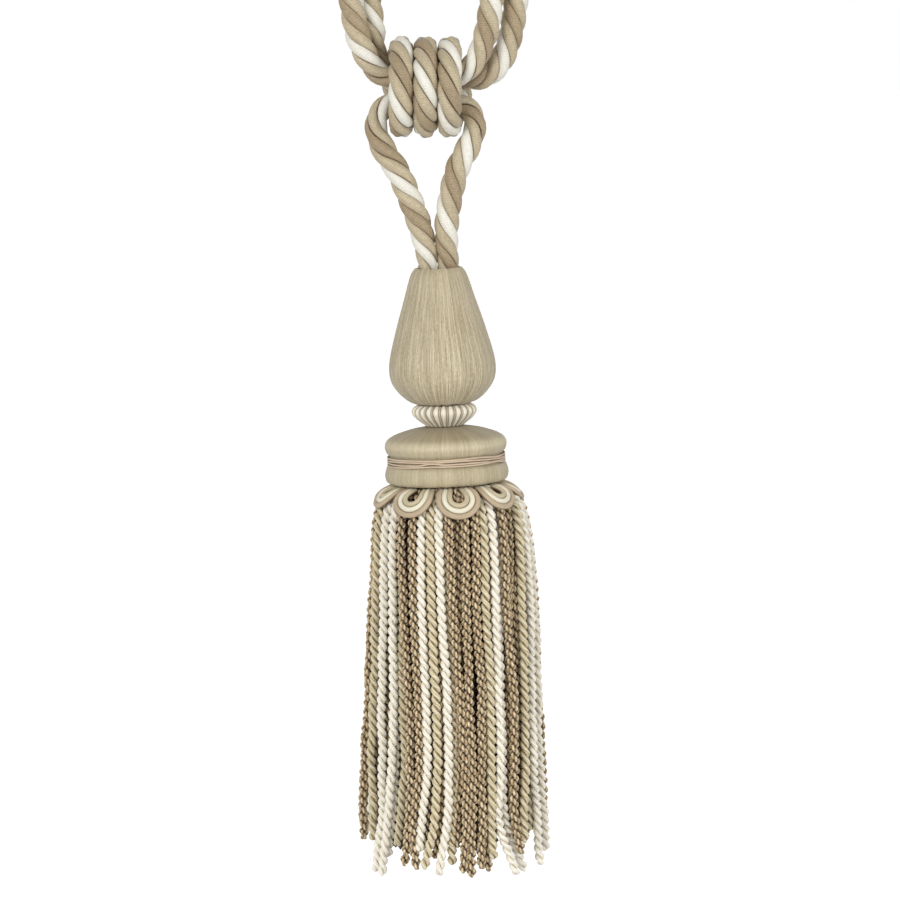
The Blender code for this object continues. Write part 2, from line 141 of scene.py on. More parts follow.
def unit(rows):
    return rows / np.linalg.norm(rows, axis=-1, keepdims=True)


def run_along(line):
    """The length along a line up to each of its points."""
    steps = np.linalg.norm(np.diff(line, axis=0), axis=1)
    return np.concatenate(([0.0], np.cumsum(steps)))


def even_line(line, step, carried=None):
    """A line, or rows carried along with it, read off at points about a step apart."""
    run = run_along(line)
    spots = np.linspace(0.0, run[-1], max(2, round(run[-1] / step) + 1))
    rows = line if carried is None else carried
    return np.stack([np.interp(spots, run, column) for column in rows.T], axis=1)


def directions(line):
    return unit(np.gradient(line, axis=0))


def square_to(side, along):
    """The side directions made square to the line's own."""
    return unit(side - along * (side * along).sum(axis=1, keepdims=True))


def smooth_line(points, per_span):
    """Points on a centripetal Catmull-Rom curve through the given ones, ends included."""
    points = np.asarray(points, dtype=float)
    padded = np.concatenate(([points[0] * 2 - points[1]], points, [points[-1] * 2 - points[-2]]))
    spans = np.sqrt(np.linalg.norm(np.diff(padded, axis=0), axis=1))[:, None]
    rates = np.diff(padded, axis=0) / spans
    slopes = (rates[:-1] * spans[1:] + rates[1:] * spans[:-1]) / (spans[:-1] + spans[1:])
    t = (np.arange(per_span) / per_span)[None, :, None]
    start, end = points[:-1, None], points[1:, None]
    leaving = (slopes[:-1] * spans[1:-1])[:, None]
    arriving = (slopes[1:] * spans[1:-1])[:, None]
    curve = start + (end - start) * eased(t)
    curve = curve + leaving * (t * (1.0 - t) ** 2) - arriving * (t * t * (1.0 - t))
    return np.concatenate((curve.reshape(-1, points.shape[1]), points[-1:]))


def carried_side(line, first):
    """A side direction carried along a line without turning round it."""
    sides = np.empty_like(line)
    side = np.asarray(first, dtype=float)
    for spot, along in enumerate(directions(line)):
        side = side - along * side.dot(along)
        side = side / np.linalg.norm(side)
        sides[spot] = side
    return sides


def wind(line, side, offset, angle):
    """A strand wound round a line: its own middle, and the direction in which it faces outward."""
    along = directions(line)
    side = square_to(side, along)
    other = np.cross(along, side)
    out = np.cos(angle)[:, None] * side + np.sin(angle)[:, None] * other
    return line + np.reshape(offset, (-1, 1)) * out, out


def round_about(sides):
    """The angles of the points of a ring."""
    return np.arange(sides) * TURN / sides


def rings(line, along, out, radius, sides, wide=1.0):
    """Rings of points round a line, each from the line's outer side on."""
    across = np.cross(along, out)
    turn = round_about(sides)[None, :, None]
    return line[:, None] + radius * (np.cos(turn) * out[:, None] + np.sin(turn) * across[:, None] * wide)


# -------------------- skins


class Skin:
    """Gathers tubes and shells into one mesh.

    Each face corner keeps "thread": the length along, the share of the way round, and the strand's
    own tone. Each point keeps "depth": how far it lies below the outside of the cord it is in, which
    sets where painted shade darkens its colour; on the cap it also carries the dome's painted shade.
    """

    def __init__(self):
        self.points, self.depths = [], []
        self.corners, self.sizes, self.threads, self.slots = [], [], [], []
        self.count = 0

    def grid(self, rows, along, around, tone, slot, depth, closed=True):
        """A net of points, row after row; around has one more column than a closed net."""
        deep, wide = rows.shape[:2]
        number = self.count + np.arange(deep * wide).reshape(deep, wide)
        if closed:
            number = np.concatenate((number, number[:, :1]), axis=1)
        u = np.broadcast_to(np.reshape(along, (-1, 1)), number.shape)
        v = np.broadcast_to(around, number.shape)
        w = np.broadcast_to(np.reshape(tone, (1, -1)), number.shape)
        thread = np.stack((u, v, w), axis=-1)

        def quads(net):
            return np.stack((net[:-1, :-1], net[:-1, 1:], net[1:, 1:], net[1:, :-1]), axis=2)

        faces = quads(number).reshape(-1, 4)
        self.points.append(rows.reshape(-1, 3))
        self.depths.append(np.broadcast_to(depth, (deep, wide)).reshape(-1))
        self.corners.append(faces.reshape(-1))
        self.threads.append(quads(thread).reshape(-1, 3))
        self.sizes.append(np.full(len(faces), 4))
        slots = np.broadcast_to(np.reshape(slot, (1, -1)), (deep - 1, number.shape[1] - 1))
        self.slots.append(slots.reshape(-1))
        self.count += deep * wide
        return number

    def lid(self, ring, at, tone, slot):
        """One flat face over the end of a tube."""
        self.corners.append(ring)
        self.sizes.append(np.array([len(ring)]))
        self.threads.append(np.tile((at, 0.0, tone), (len(ring), 1)))
        self.slots.append(np.array([slot]))

    def tube(self, line, out, radius, sides, slot, tone, wide, core, reach):
        """A tube round a line; its radius may differ from ring to ring and from point to point.

        Out is its outer side, and wide its width over its thickness. Its depth counts from reach,
        the outside of the cord whose middle line is core.
        """
        along = directions(line)
        radius = np.asarray(radius)
        radius = radius[..., None] if radius.ndim == 2 else np.reshape(radius, (-1, 1, 1))
        rows = rings(line, along, square_to(out, along), radius, sides, wide)
        away, forward = rows - core[:, None], directions(core)[:, None]
        away = away - forward * np.sum(away * forward, axis=2, keepdims=True)
        far = np.linalg.norm(away, axis=2)
        depth = np.clip(1.0 - far / np.reshape(reach, (-1, 1)), 0.0, 1.0)
        run = run_along(line)
        net = self.grid(rows, run, np.linspace(0.0, 1.0, sides + 1), tone, slot, depth)
        self.lid(net[0, :-1][::-1], run[0], tone, slot)
        self.lid(net[-1, :-1], run[-1], tone, slot)

    def piece(self, name, slot, finishes, *nodes):
        """The finished piece, riding on the frame and standing for its nodes."""
        mesh = bpy.data.meshes.new(name)

        def fill(rows, key, parts, kind=np.float32):
            rows.foreach_set(key, np.concatenate(parts).astype(kind).reshape(-1))

        sizes = np.concatenate(self.sizes)
        mesh.vertices.add(self.count)
        mesh.loops.add(int(sizes.sum()))
        mesh.polygons.add(len(sizes))
        fill(mesh.vertices, "co", self.points)
        fill(mesh.loops, "vertex_index", self.corners, np.int32)
        fill(mesh.polygons, "loop_start", ([0], np.cumsum(sizes)[:-1]), np.int32)
        fill(mesh.polygons, "material_index", self.slots, np.int32)
        mesh.polygons.foreach_set("use_smooth", np.ones(len(sizes), dtype=bool))
        mesh.update(calc_edges=True)
        fill(mesh.attributes.new("thread", "FLOAT_VECTOR", "CORNER").data, "vector", self.threads)
        fill(mesh.attributes.new("depth", "FLOAT", "POINT").data, "value", self.depths)
        for finish in finishes:
            mesh.materials.append(bpy.data.materials[finish])
        piece = bpy.data.objects.new(name, mesh)
        bpy.context.scene.collection.objects.link(piece)
        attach(piece, "root")
        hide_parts(*nodes)
        return piece


# -------------------- shader groups

# The sockets of a mix node that are for colours.
MIX_SHARE, MIX_FIRST, MIX_SECOND, MIX_RESULT = 0, 6, 7, 2
TONE_SPREAD = 37.0  # so that each strand has streaks of its own


def feed(tree, fed, inputs):
    """Link each of these inputs of a node, or give it its value."""
    for name, value in inputs.items():
        if isinstance(value, bpy.types.NodeSocket):
            tree.links.new(value, fed.inputs[name])
        else:
            fed.inputs[name].default_value = value


def node(tree, kind, inputs=None, **settings):
    made = tree.nodes.new(kind)
    for name, value in settings.items():
        setattr(made, name, value)
    feed(tree, made, inputs or {})
    return made


def calc(tree, operation, first, second=0.0, clamp=False):
    made = node(tree, "ShaderNodeMath", {0: first, 1: second}, operation=operation, use_clamp=clamp)
    return made.outputs[0]


def blend_colour(tree, share, first, second):
    inputs = {MIX_SHARE: share, MIX_FIRST: first, MIX_SECOND: second}
    return node(tree, "ShaderNodeMix", inputs, data_type="RGBA").outputs[MIX_RESULT]


def new_group(name, inputs, outputs):
    """An empty shader group with its named sockets, and its two end nodes."""
    tree = bpy.data.node_groups.new(name, "ShaderNodeTree")
    for label, kind in inputs:
        tree.interface.new_socket(label, in_out="INPUT", socket_type=f"NodeSocket{kind}")
    for label, kind in outputs:
        tree.interface.new_socket(label, in_out="OUTPUT", socket_type=f"NodeSocket{kind}")
    return tree, tree.nodes.new("NodeGroupInput").outputs, tree.nodes.new("NodeGroupOutput")


def make_thread_streaks():
    """Uneven streaks that run with the thread, the same all the way round."""
    inputs = (("Thread", "Vector"), ("Across", "Float"), ("Along", "Float"), ("Contrast", "Float"))
    tree, given, end = new_group("thread_streaks", inputs, (("Streak", "Float"),))
    part = node(tree, "ShaderNodeSeparateXYZ", {0: given["Thread"]}).outputs
    turn = calc(tree, "MULTIPLY", part["Y"], TURN)
    x = calc(tree, "MULTIPLY", calc(tree, "COSINE", turn), given["Across"])
    y = calc(tree, "MULTIPLY", calc(tree, "SINE", turn), given["Across"])
    z = calc(tree, "MULTIPLY", part["X"], given["Along"])
    own = calc(tree, "MULTIPLY", part["Z"], TONE_SPREAD)
    spot = node(tree, "ShaderNodeCombineXYZ", {0: calc(tree, "ADD", x, own), 1: y, 2: z}).outputs[0]
    noise = node(tree, "ShaderNodeTexNoise", {"Vector": spot, "Scale": 1.0, "Detail": 2.0})
    swing = calc(tree, "MULTIPLY", calc(tree, "SUBTRACT", noise.outputs[0], 0.5), given["Contrast"])
    feed(tree, end, {"Streak": calc(tree, "ADD", swing, 0.5, clamp=True)})


def make_wound_ribs():
    """Fine ribs of the thread that is wound round a cord."""
    inputs = (("Thread", "Vector"), ("Rib Length", "Float"), ("Slant", "Float"))
    tree, given, end = new_group("wound_ribs", inputs, (("Ribs", "Float"),))
    part = node(tree, "ShaderNodeSeparateXYZ", {0: given["Thread"]}).outputs
    steps = calc(tree, "DIVIDE", part["X"], given["Rib Length"])
    steps = calc(tree, "ADD", steps, calc(tree, "MULTIPLY", part["Y"], given["Slant"]))
    wave = calc(tree, "SINE", calc(tree, "MULTIPLY", steps, TURN))
    feed(tree, end, {"Ribs": calc(tree, "ADD", calc(tree, "MULTIPLY", wave, 0.5), 0.5)})


def make_sunk_shade():
    """Painted shade: a colour that goes over to a darker one where the surface lies deep between the
    strands.
    """
    colours = (("Colour", "Color"), ("Painted Shade", "Color"))
    inputs = (*colours, ("Depth", "Float"), ("Shallow", "Float"), ("Deep", "Float"))
    tree, given, end = new_group("sunk_shade", inputs, (("Colour", "Color"),))
    inputs = {"Value": given["Depth"], "From Min": given["Shallow"], "From Max": given["Deep"]}
    painted_shade = node(tree, "ShaderNodeMapRange", inputs).outputs[0]
    feed(tree, end, {"Colour": blend_colour(tree, painted_shade, given["Colour"], given["Painted Shade"])})


def make_groups():
    make_thread_streaks()
    make_wound_ribs()
    make_sunk_shade()


# -------------------- materials

CLOTH_GLOSS = {"Sheen Roughness": 0.5, "Specular IOR Level": 0.4}


def colour(red, green, blue):
    """A shader colour from a display colour, 0 to 255."""
    shares = [value / 255.0 for value in (red, green, blue)]
    linear = [s / 12.92 if s <= 0.04045 else ((s + 0.055) / 1.055) ** 2.4 for s in shares]
    return (*linear, 1.0)


class Cloth:
    """A material in the making: its tree, its thread and depth, and its shader.

    Mesh pieces find the finished material by its name.
    """

    def __init__(self, name, roughness, sheen):
        material = bpy.data.materials.new(name)
        material.use_nodes = True
        self.tree = material.node_tree
        self.shader = self.tree.nodes["Principled BSDF"]
        inputs = {"Roughness": roughness, "Sheen Weight": sheen, **CLOTH_GLOSS}
        feed(self.tree, self.shader, inputs)
        self.thread = node(self.tree, "ShaderNodeAttribute", attribute_name="thread").outputs["Vector"]
        self.depth = node(self.tree, "ShaderNodeAttribute", attribute_name="depth").outputs["Fac"]

    def group(self, name, inputs):
        group = bpy.data.node_groups[name]
        return node(self.tree, "ShaderNodeGroup", inputs, node_tree=group).outputs[0]

    def streaks(self, across, along, contrast):
        inputs = {"Thread": self.thread, "Across": across, "Along": along, "Contrast": contrast}
        return self.group("thread_streaks", inputs)

    def ribs(self, length, slant):
        return self.group("wound_ribs", {"Thread": self.thread, "Rib Length": length, "Slant": slant})

    def mixed(self, *parts):
        """The sum of some values, each times its share."""
        total = 0.0
        for value, share in parts:
            total = calc(self.tree, "ADD", total, calc(self.tree, "MULTIPLY", value, share))
        return total

    def blend(self, share, first, second):
        return blend_colour(self.tree, share, first, second)

    def finish(self, surface, painted_shade, shade_depths, height, bump, distance):
        """Link the surface colour, darkened by painted shade over a range of depths, and the relief."""
        shallow, deep = shade_depths
        inputs = {"Colour": surface, "Painted Shade": painted_shade, "Depth": self.depth}
        shaded = self.group("sunk_shade", {**inputs, "Shallow": shallow, "Deep": deep})
        inputs = {"Strength": bump, "Distance": distance, "Height": height}
        relief = node(self.tree, "ShaderNodeBump", inputs).outputs[0]
        feed(self.tree, self.shader, {"Base Color": shaded, "Normal": relief})


def satin_cord(name, light, dark, painted_shade):
    """A rope strand: satin thread wound at a slant over a soft core."""
    cloth = Cloth(name, roughness=0.5, sheen=0.15)
    broad = cloth.streaks(across=0.5, along=60.0, contrast=1.6)
    ribs = cloth.ribs(1.1 * MM, 3.0)
    fine = cloth.streaks(across=4.0, along=900.0, contrast=3.0)
    surface = cloth.blend(cloth.mixed((broad, 0.4), (ribs, 0.25), (fine, 0.35)), light, dark)
    height = calc(cloth.tree, "ADD", ribs, fine)
    cloth.finish(surface, painted_shade, (0.185, 0.3), height, bump=0.35, distance=0.2 * MM)


def floss(name, light, dark, painted_shade, crispness):
    """Smooth floss laid thread beside thread over a turned core."""
    cloth = Cloth(name, roughness=0.42, sheen=0.1)
    fine = cloth.streaks(across=96.0, along=60.0, contrast=crispness)
    specks = cloth.streaks(across=170.0, along=620.0, contrast=crispness)
    broad = cloth.streaks(across=24.0, along=28.0, contrast=2.6)
    surface = cloth.blend(cloth.mixed((fine, 0.44), (specks, 0.36), (broad, 0.2)), light, dark)
    cloth.finish(surface, painted_shade, (0.0, 1.0), fine, bump=0.3, distance=0.3 * MM)


def smooth_yarn(name, light, dark, painted_shade):
    """Soft yarn of the pale strands, with the lines of its finer yarns."""
    cloth = Cloth(name, roughness=0.55, sheen=0.2)
    tone = cloth.streaks(across=0.9, along=330.0, contrast=3.0)
    lines = cloth.ribs(30.0 * MM, -3.0)
    seams = calc(cloth.tree, "POWER", calc(cloth.tree, "SUBTRACT", 1.0, lines), 3.0)
    surface = cloth.blend(cloth.mixed((tone, 0.5), (seams, 0.52)), light, dark)
    cloth.finish(surface, painted_shade, (0.3, 0.75), lines, bump=0.45, distance=0.5 * MM)


def twisted_yarn(name, first, second, dark, painted_shade, stray):
    """Two crisp yarns of different finishes twisted together, with stray threads of a third."""
    cloth = Cloth(name, roughness=0.45, sheen=0.2)
    pair = cloth.ribs(YARN_PITCH * MM, -1.0)
    strays = cloth.streaks(across=0.8, along=330.0, contrast=5.0)
    colours = cloth.blend(cloth.mixed((strays, 0.6)), cloth.blend(pair, first, second), stray)
    # Painted shade: the colour goes dark in the troughs between the yarns' lumps, on the same wave that
    # raises them as bumps.
    crest_and_shade = cloth.ribs(0.5 * YARN_PITCH * MM, -2.0)
    grain = cloth.streaks(across=1.4, along=620.0, contrast=3.4)
    surface = cloth.blend(cloth.mixed((1.0, 0.75), (crest_and_shade, -0.75), (grain, 0.3)), colours, dark)
    cloth.finish(surface, painted_shade, (0.3, 0.75), crest_and_shade, bump=0.5, distance=0.4 * MM)


def gimp(name, light, dark, painted_shade, shade_depths):
    """Gimp cord: thread wound close and square round a core."""
    cloth = Cloth(name, roughness=0.5, sheen=0.1)
    surface = cloth.blend(cloth.streaks(across=0.6, along=150.0, contrast=1.6), light, dark)
    cloth.finish(surface, painted_shade, shade_depths, cloth.ribs(0.6 * MM, 1.0), bump=0.3, distance=0.2 * MM)


def make_materials():
    make_groups()
    # Painted shade colours for the sunk places between strands, cords, threads and ribs.
    brown = colour(96, 74, 46)
    deep = colour(62, 46, 28)

    def add(maker, name, light, dark, painted_shade, *more):
        maker(name, colour(*light), colour(*dark), painted_shade, *more)

    # In each row the third colour is painted shade for the sunk places.
    add(satin_cord, "rope_cream", (238, 236, 226), (208, 203, 188), colour(92, 62, 30))
    add(satin_cord, "rope_sand", (203, 190, 162), (152, 136, 104), colour(66, 36, 12))
    add(satin_cord, "rope_taupe", (181, 162, 132), (126, 108, 80), colour(58, 32, 12))
    add(floss, "head_floss", (222, 211, 182), (132, 115, 80), brown, 5.0)
    add(floss, "cap_floss", (220, 210, 181), (180, 166, 132), colour(118, 100, 64), 3.8)
    add(gimp, "bead_cream", (240, 236, 222), (228, 221, 202), colour(150, 132, 100), (0.5, 1.0))
    add(gimp, "bead_taupe", (196, 184, 160), (178, 163, 136), deep, (0.35, 0.95))
    add(gimp, "binding_rose", (212, 192, 166), (188, 166, 139), colour(70, 40, 20), (0.1, 0.4))
    add(gimp, "gimp_taupe", (194, 175, 147), (176, 157, 128), brown, (0.14, 0.36))
    add(gimp, "gimp_cream", (236, 231, 210), (222, 215, 192), brown, (0.18, 0.38))
    add(gimp, "gimp_sand", (204, 192, 162), (188, 174, 142), brown, (0.14, 0.36))
    add(smooth_yarn, "fringe_cream", (247, 242, 229), (228, 221, 203), colour(232, 222, 200))
    add(smooth_yarn, "fringe_sand", (230, 219, 187), (178, 163, 125), colour(146, 124, 86))
    # The twisted yarns' painted shade in the troughs between their lumps, their painted shade in the
    # sunk places, and the colour of their stray threads.
    painted_shades_and_stray = colour(116, 90, 58), colour(44, 27, 12), colour(184, 150, 106)
    add(twisted_yarn, "fringe_taupe", (253, 230, 192), (230, 216, 172), *painted_shades_and_stray)
    # The inner and core strands: the same yarn drawn darker all through, as painted shade inside the
    # skirt.
    painted_shades_and_stray = colour(60, 42, 24), colour(30, 17, 8), colour(92, 66, 42)
    add(twisted_yarn, "fringe_inner", (116, 92, 64), (98, 80, 54), *painted_shades_and_stray)


# -------------------- rope

ROPE_RADIUS = 6.0 * MM
ROPE_IN_KNOT = 5.3 * MM
ROPE_IN_HEAD = 5.1 * MM
ROPE_TAPER = 18.0 * MM
HEAD_GRIP = 2.0 * MM  # how far above the head the rope is as thin as in it
ROPE_LAY = 35.5 * MM
ROPE_RING_STEP = 1.8 * MM
ROPE_PATH_STEP = 5.0 * MM
ROPE_POINTS = 30  # between two of its route's points
STRAND_SIDES = 14
STRAND_OFFSET = 0.57  # of the rope's radius
STRAND_THICK = 0.43
STRAND_WIDE = 1.06  # a strand's width over its thickness
ROPE_FINISHES = ("rope_cream", "rope_sand", "rope_taupe")
STRAND_SLOTS = (0, 1, 2, 1)  # the finish of each strand
TO_THE_FRONT = np.array((0.0, -1.0, 0.0))
LOOP_RADIUS = 24.0 * MM
LOOP_OFFSET = 6.3 * MM
KNOT_LEFT, KNOT_RIGHT = -21.6 * MM, 12.8 * MM
KNOT_MIDDLE = np.array(((KNOT_LEFT + KNOT_RIGHT) / 2, 0.0, -335.0 * MM))
KNOT_OUTER = 24.0 * MM
KNOT_BESIDE = 4.0 * MM  # how far beside the knot the rope starts to fill out
# The rope's ways through the knot, in millimetres from its middle.
SLANTING_PASS = table(
    "along back up",
    (-11.5, 1.0, -6.9), (-5.75, 3.7, -5.9), (0.0, 6.1, -3.5), (5.75, 7.0, -0.6), (11.5, 6.6, 2.4),
)
TOP_PASS = table(
    "along back up",
    (11.5, -4.6, 5.5), (5.75, -2.5, 6.6), (0.0, 0.0, 7.0), (-5.75, 2.5, 6.6), (-11.5, 4.6, 5.5),
)
HEAD_TOP = np.array((1.6, 0.0, -420.5)) * MM
LEAN = math.radians(2.4)
ROPE_SEAT_DEPTH = 4.2 * MM
ROPE_ENDS_APART = 4.85 * MM
GAP = 0.3 * MM
# Metres from the rope's left end at which its cream strand shows in front.
CREAM_IN_FRONT = (0.0100, 0.0445, 0.0855, 0.1515, 0.8156, 0.8506, 0.9236, 1.5957, 1.6747, 1.7112)


def knot_pass(rows, side=1):
    spots = [(side * row["along"], side * row["back"], row["up"]) for row in rows]
    return [KNOT_MIDDLE + np.array(spot) * MM for spot in spots]


def hook_loop(offset):
    """The rope's way over the hook, from the right to the left."""
    turns = np.radians((0, 36, 72, 108, 144, 180))
    heights = ROPE_RADIUS + LOOP_RADIUS * (np.sin(turns) - 1.0)
    return [(LOOP_RADIUS * math.cos(turn), offset, z) for turn, z in zip(turns, heights)]


def route(*points):
    return [np.array(point) * MM for point in points]


def hung(points):
    """Points of the tassel's own frame, whose origin is the head's top, leaning as it does."""
    x, y, z = np.moveaxis(np.asarray(points), -1, 0)
    cosine, sine = math.cos(LEAN), math.sin(LEAN)
    return HEAD_TOP + np.stack((x * cosine - z * sine, y, x * sine + z * cosine), axis=-1)


def rope_end(side, depth):
    """A point of the left (-1) or right (1) end's middle, that deep below the top of the head."""
    return hung((side * ROPE_ENDS_APART, 0.0, -depth))


def rope_route():
    """The rope's own points, from the left end in the head round to the right one."""
    left_leg = route(
        (-4.9, 0.0, -409.5), (-6.8, -0.3, -401.5), (-11.1, -1.0, -389.5), (-17.4, -1.6, -375.0),
        (-24.2, -1.4, -364.5), (-27.9, -0.8, -354.0), (-26.3, -0.2, -347.4), (-21.6, 0.3, -342.9),
    )
    right_outer_up = route(
        (12.8, 6.2, -331.0), (22.4, 6.0, -330.6), (30.8, 5.4, -323.7), (35.8, 5.0, -311.0),
        (38.5, 4.8, -294.0), (42.8, 4.6, -262.0), (44.6, 5.0, -222.0), (42.6, 5.6, -172.0),
        (36.6, 6.0, -116.0), (29.0, 6.3, -62.0),
    )
    right_inner_down = route(
        (-20.4, 6.3, -50.0), (0.0, 6.6, -98.0), (17.6, 5.0, -145.0), (28.2, 1.0, -190.0),
        (31.6, -3.4, -232.0), (29.8, -5.2, -266.0), (26.8, -5.4, -294.0), (24.4, -5.6, -309.0),
        (21.0, -6.0, -318.8), (16.8, -6.1, -325.6), (12.0, -5.4, -329.4),
    )
    left_inner_up = route(
        (-20.8, 5.4, -329.4), (-25.6, 6.1, -325.0), (-28.4, 5.8, -317.6), (-29.2, 5.2, -309.0),
        (-31.0, 4.8, -294.0), (-33.0, 3.4, -266.0), (-32.4, 0.0, -228.0), (-28.4, -3.6, -188.0),
        (-17.6, -5.8, -145.0), (0.0, -6.6, -98.0), (20.4, -6.3, -50.0),
    )
    left_outer_down = route(
        (-29.0, -6.3, -62.0), (-36.8, -6.0, -116.0), (-43.2, -5.8, -172.0), (-45.4, -5.8, -222.0),
        (-43.6, -5.4, -262.0), (-39.4, -5.0, -294.0), (-36.2, -5.4, -311.0), (-31.0, -6.0, -322.6),
        (-25.6, -6.3, -329.0),
    )
    right_leg = route(
        (12.8, -0.3, -342.9), (17.5, 0.1, -347.4), (19.1, 0.0, -354.0), (16.0, -0.2, -363.0),
        (11.0, -0.5, -373.0), (7.7, -0.8, -386.0), (5.7, -0.6, -399.0), (5.7, 0.0, -409.5),
    )
    depth = ROPE_SEAT_DEPTH - 2.0 * GAP
    return [
        rope_end(-1, depth),
        rope_end(-1, 0.0),
        rope_end(-1, -ROPE_SEAT_DEPTH),
        *left_leg,
        *knot_pass(SLANTING_PASS),
        *right_outer_up,
        *hook_loop(LOOP_OFFSET),
        *right_inner_down,
        *knot_pass(TOP_PASS),
        *left_inner_up,
        *hook_loop(-LOOP_OFFSET),
        *left_outer_down,
        *reversed(knot_pass(SLANTING_PASS, -1)),
        *right_leg,
        rope_end(1, -ROPE_SEAT_DEPTH),
        rope_end(1, 0.0),
        rope_end(1, depth),
    ]


def rope_radius(line):
    """The rope's radius: full where it hangs free, less in the knot and at the head."""
    above_head = ramp(line[:, 2], HEAD_TOP[2] + HEAD_GRIP, ROPE_TAPER)
    at_head = ROPE_IN_HEAD + (ROPE_RADIUS - ROPE_IN_HEAD) * above_head
    beside = np.maximum(KNOT_LEFT - line[:, 0], line[:, 0] - KNOT_RIGHT)
    beside = ramp(beside, KNOT_BESIDE, ROPE_TAPER / 2)
    in_knot = ROPE_IN_KNOT + (ROPE_RADIUS - ROPE_IN_KNOT) * beside
    return np.where(abs(line[:, 2] - KNOT_MIDDLE[2]) > KNOT_OUTER, at_head, in_knot)


def strand_turn(line, side, marks, lay):
    """The angle of the cream strand along a rope: it faces front at each mark."""
    along = directions(line)
    other = np.cross(along, side)
    facing = np.unwrap(np.arctan2(other @ TO_THE_FRONT, side @ TO_THE_FRONT))
    marks = np.asarray(marks)
    run = run_along(line)
    turns = np.concatenate(([0], np.cumsum(np.maximum(1, np.round(np.diff(marks) / lay)))))
    counted = np.interp(run, marks, turns)
    counted += np.minimum(run - marks[0], 0.0) / lay + np.maximum(run - marks[-1], 0.0) / lay
    return facing - TURN * counted


def lay_rope(line, side, radius, marks, lay):
    """A skin of four strands laid up into a rope along a line."""
    skin = Skin()
    turn = strand_turn(line, side, marks, lay)
    for number, slot in enumerate(STRAND_SLOTS):
        share = number / len(STRAND_SLOTS)
        middle, out = wind(line, side, STRAND_OFFSET * radius, turn + share * TURN)
        thick = STRAND_THICK * radius
        # The tube's depth counts from the rope's outside: painted shade in the grooves between the
        # strands.
        skin.tube(middle, out, thick, STRAND_SIDES, slot, share, STRAND_WIDE, line, radius)
    return skin


def make_embrace_rope():
    """The rope's piece, and its path as points."""
    path = smooth_line(rope_route(), ROPE_POINTS)
    line = even_line(path, ROPE_RING_STEP)
    side = carried_side(line, TO_THE_FRONT)
    skin = lay_rope(line, side, rope_radius(line), CREAM_IN_FRONT, ROPE_LAY)
    rope = skin.piece("embrace_rope_strands", "rope_satin", ROPE_FINISHES, "embrace_rope")
    return rope, even_line(path, ROPE_PATH_STEP)


# -------------------- the knot's wound rope

WRAP_RADIUS = 18.6 * MM  # of the wound rope's middle
WRAP_ROPE_RADIUS = 5.85 * MM
WRAP_TURNS = 3
WRAP_PITCH = (KNOT_RIGHT - KNOT_LEFT) / WRAP_TURNS
WRAP_LAY = 36.0 * MM
# Angles in degrees: 0 is the front of the first turn, and 90 its underside.
WRAP_START, WRAP_END = -215.0, 935.0
WRAP_UPRIGHT = 105.0  # how far either side of the front a turn goes straight round
WRAP_CREAM = (33.0, 354.0, 663.0, 780.0)  # where the cream strand shows in front
# An end goes in under the turns: over how many degrees, how deep, how far along, how much thinner.
TUCK_ANGLE = 50.0
TUCK_DEPTH = 7.0 * MM
TUCK_ALONG = 5.0 * MM
TUCK_THINNER = 0.25
WRAP_POINTS = 1200


def wrap_place(angle):
    """The points of the wound rope's middle at the angles, and how far it is tucked in there."""
    turn = np.clip(np.floor((angle + 180.0) / 360.0), 0, WRAP_TURNS - 1)
    within = angle - 360.0 * turn
    ease = eased(ramp(abs(within), WRAP_UPRIGHT, 180.0 - WRAP_UPRIGHT))
    x = KNOT_LEFT + WRAP_PITCH * (turn + 0.5 + np.sign(within) * 0.5 * ease)
    tuck = ramp(np.maximum(WRAP_START - angle, angle - WRAP_END), -TUCK_ANGLE, TUCK_ANGLE)
    x = x + np.where(angle < 0.0, 1.0, -1.0) * TUCK_ALONG * tuck
    radius = WRAP_RADIUS - TUCK_DEPTH * tuck * tuck
    way = np.radians(angle)
    z = KNOT_MIDDLE[2] - radius * np.sin(way)
    return np.stack((x, -radius * np.cos(way), z), axis=1), tuck


def make_rope_wrap():
    angle = np.linspace(WRAP_START, WRAP_END, WRAP_POINTS)
    places, tuck = wrap_place(angle)
    run = run_along(places)
    line = even_line(places, ROPE_RING_STEP)
    side = unit((line - KNOT_MIDDLE) * np.array((0.0, 1.0, 1.0)))
    tucked = np.interp(run_along(line), run, tuck)
    radius = WRAP_ROPE_RADIUS * (1.0 - TUCK_THINNER * tucked)
    skin = lay_rope(line, side, radius, np.interp(WRAP_CREAM, angle, run), WRAP_LAY)
    return skin.piece("wrap_turns", "rope_satin", ROPE_FINISHES, "rope_wrap")


# -------------------- turned pieces of the tassel

# Outlines are (radius, depth) in millimetres, from the axis round the outside to the axis.
NEAR_AXIS = 0.4
NEAREST_AXIS = 0.05
HEAD_LENGTH = 64.8
BEAD_LENGTH = 10.3
BEAD_TOP = 65.1
CAP_TOP = 75.7
CAP_LENGTH = 26.4
CAP_BOTTOM = CAP_TOP + CAP_LENGTH
HEAD_SEAT = ((NEAR_AXIS, 4.2), (9.9, 4.2), (9.9, 2.0), (10.1, 0.15))
HEAD_SIDE = (
    (11.1, 0.0), (12.9, 2.4), (16.8, 14.5), (22.0, 31.5), (25.3, 46.0),
    (24.6, 53.5), (21.2, 59.0), (16.2, 63.4), (12.0, HEAD_LENGTH),
)
HEAD_WAVES = (5, 9, 14, 23)  # broad unevenness, in waves all the way round
HEAD_WAVE = 0.05
BEAD_TOP_FACE = ((NEAR_AXIS, 0.0), (10.0, 0.05))
BEAD_SIDE = ((12.8, 0.0), (15.1, 1.6), (15.6, 3.6), (13.9, 6.2), (11.0, 8.6), (8.8, BEAD_LENGTH))
BEAD_FOOT = ((4.0, BEAD_LENGTH), (NEAR_AXIS, BEAD_LENGTH))
BEAD_PAIRS = 25  # of a cream rib and a taupe one
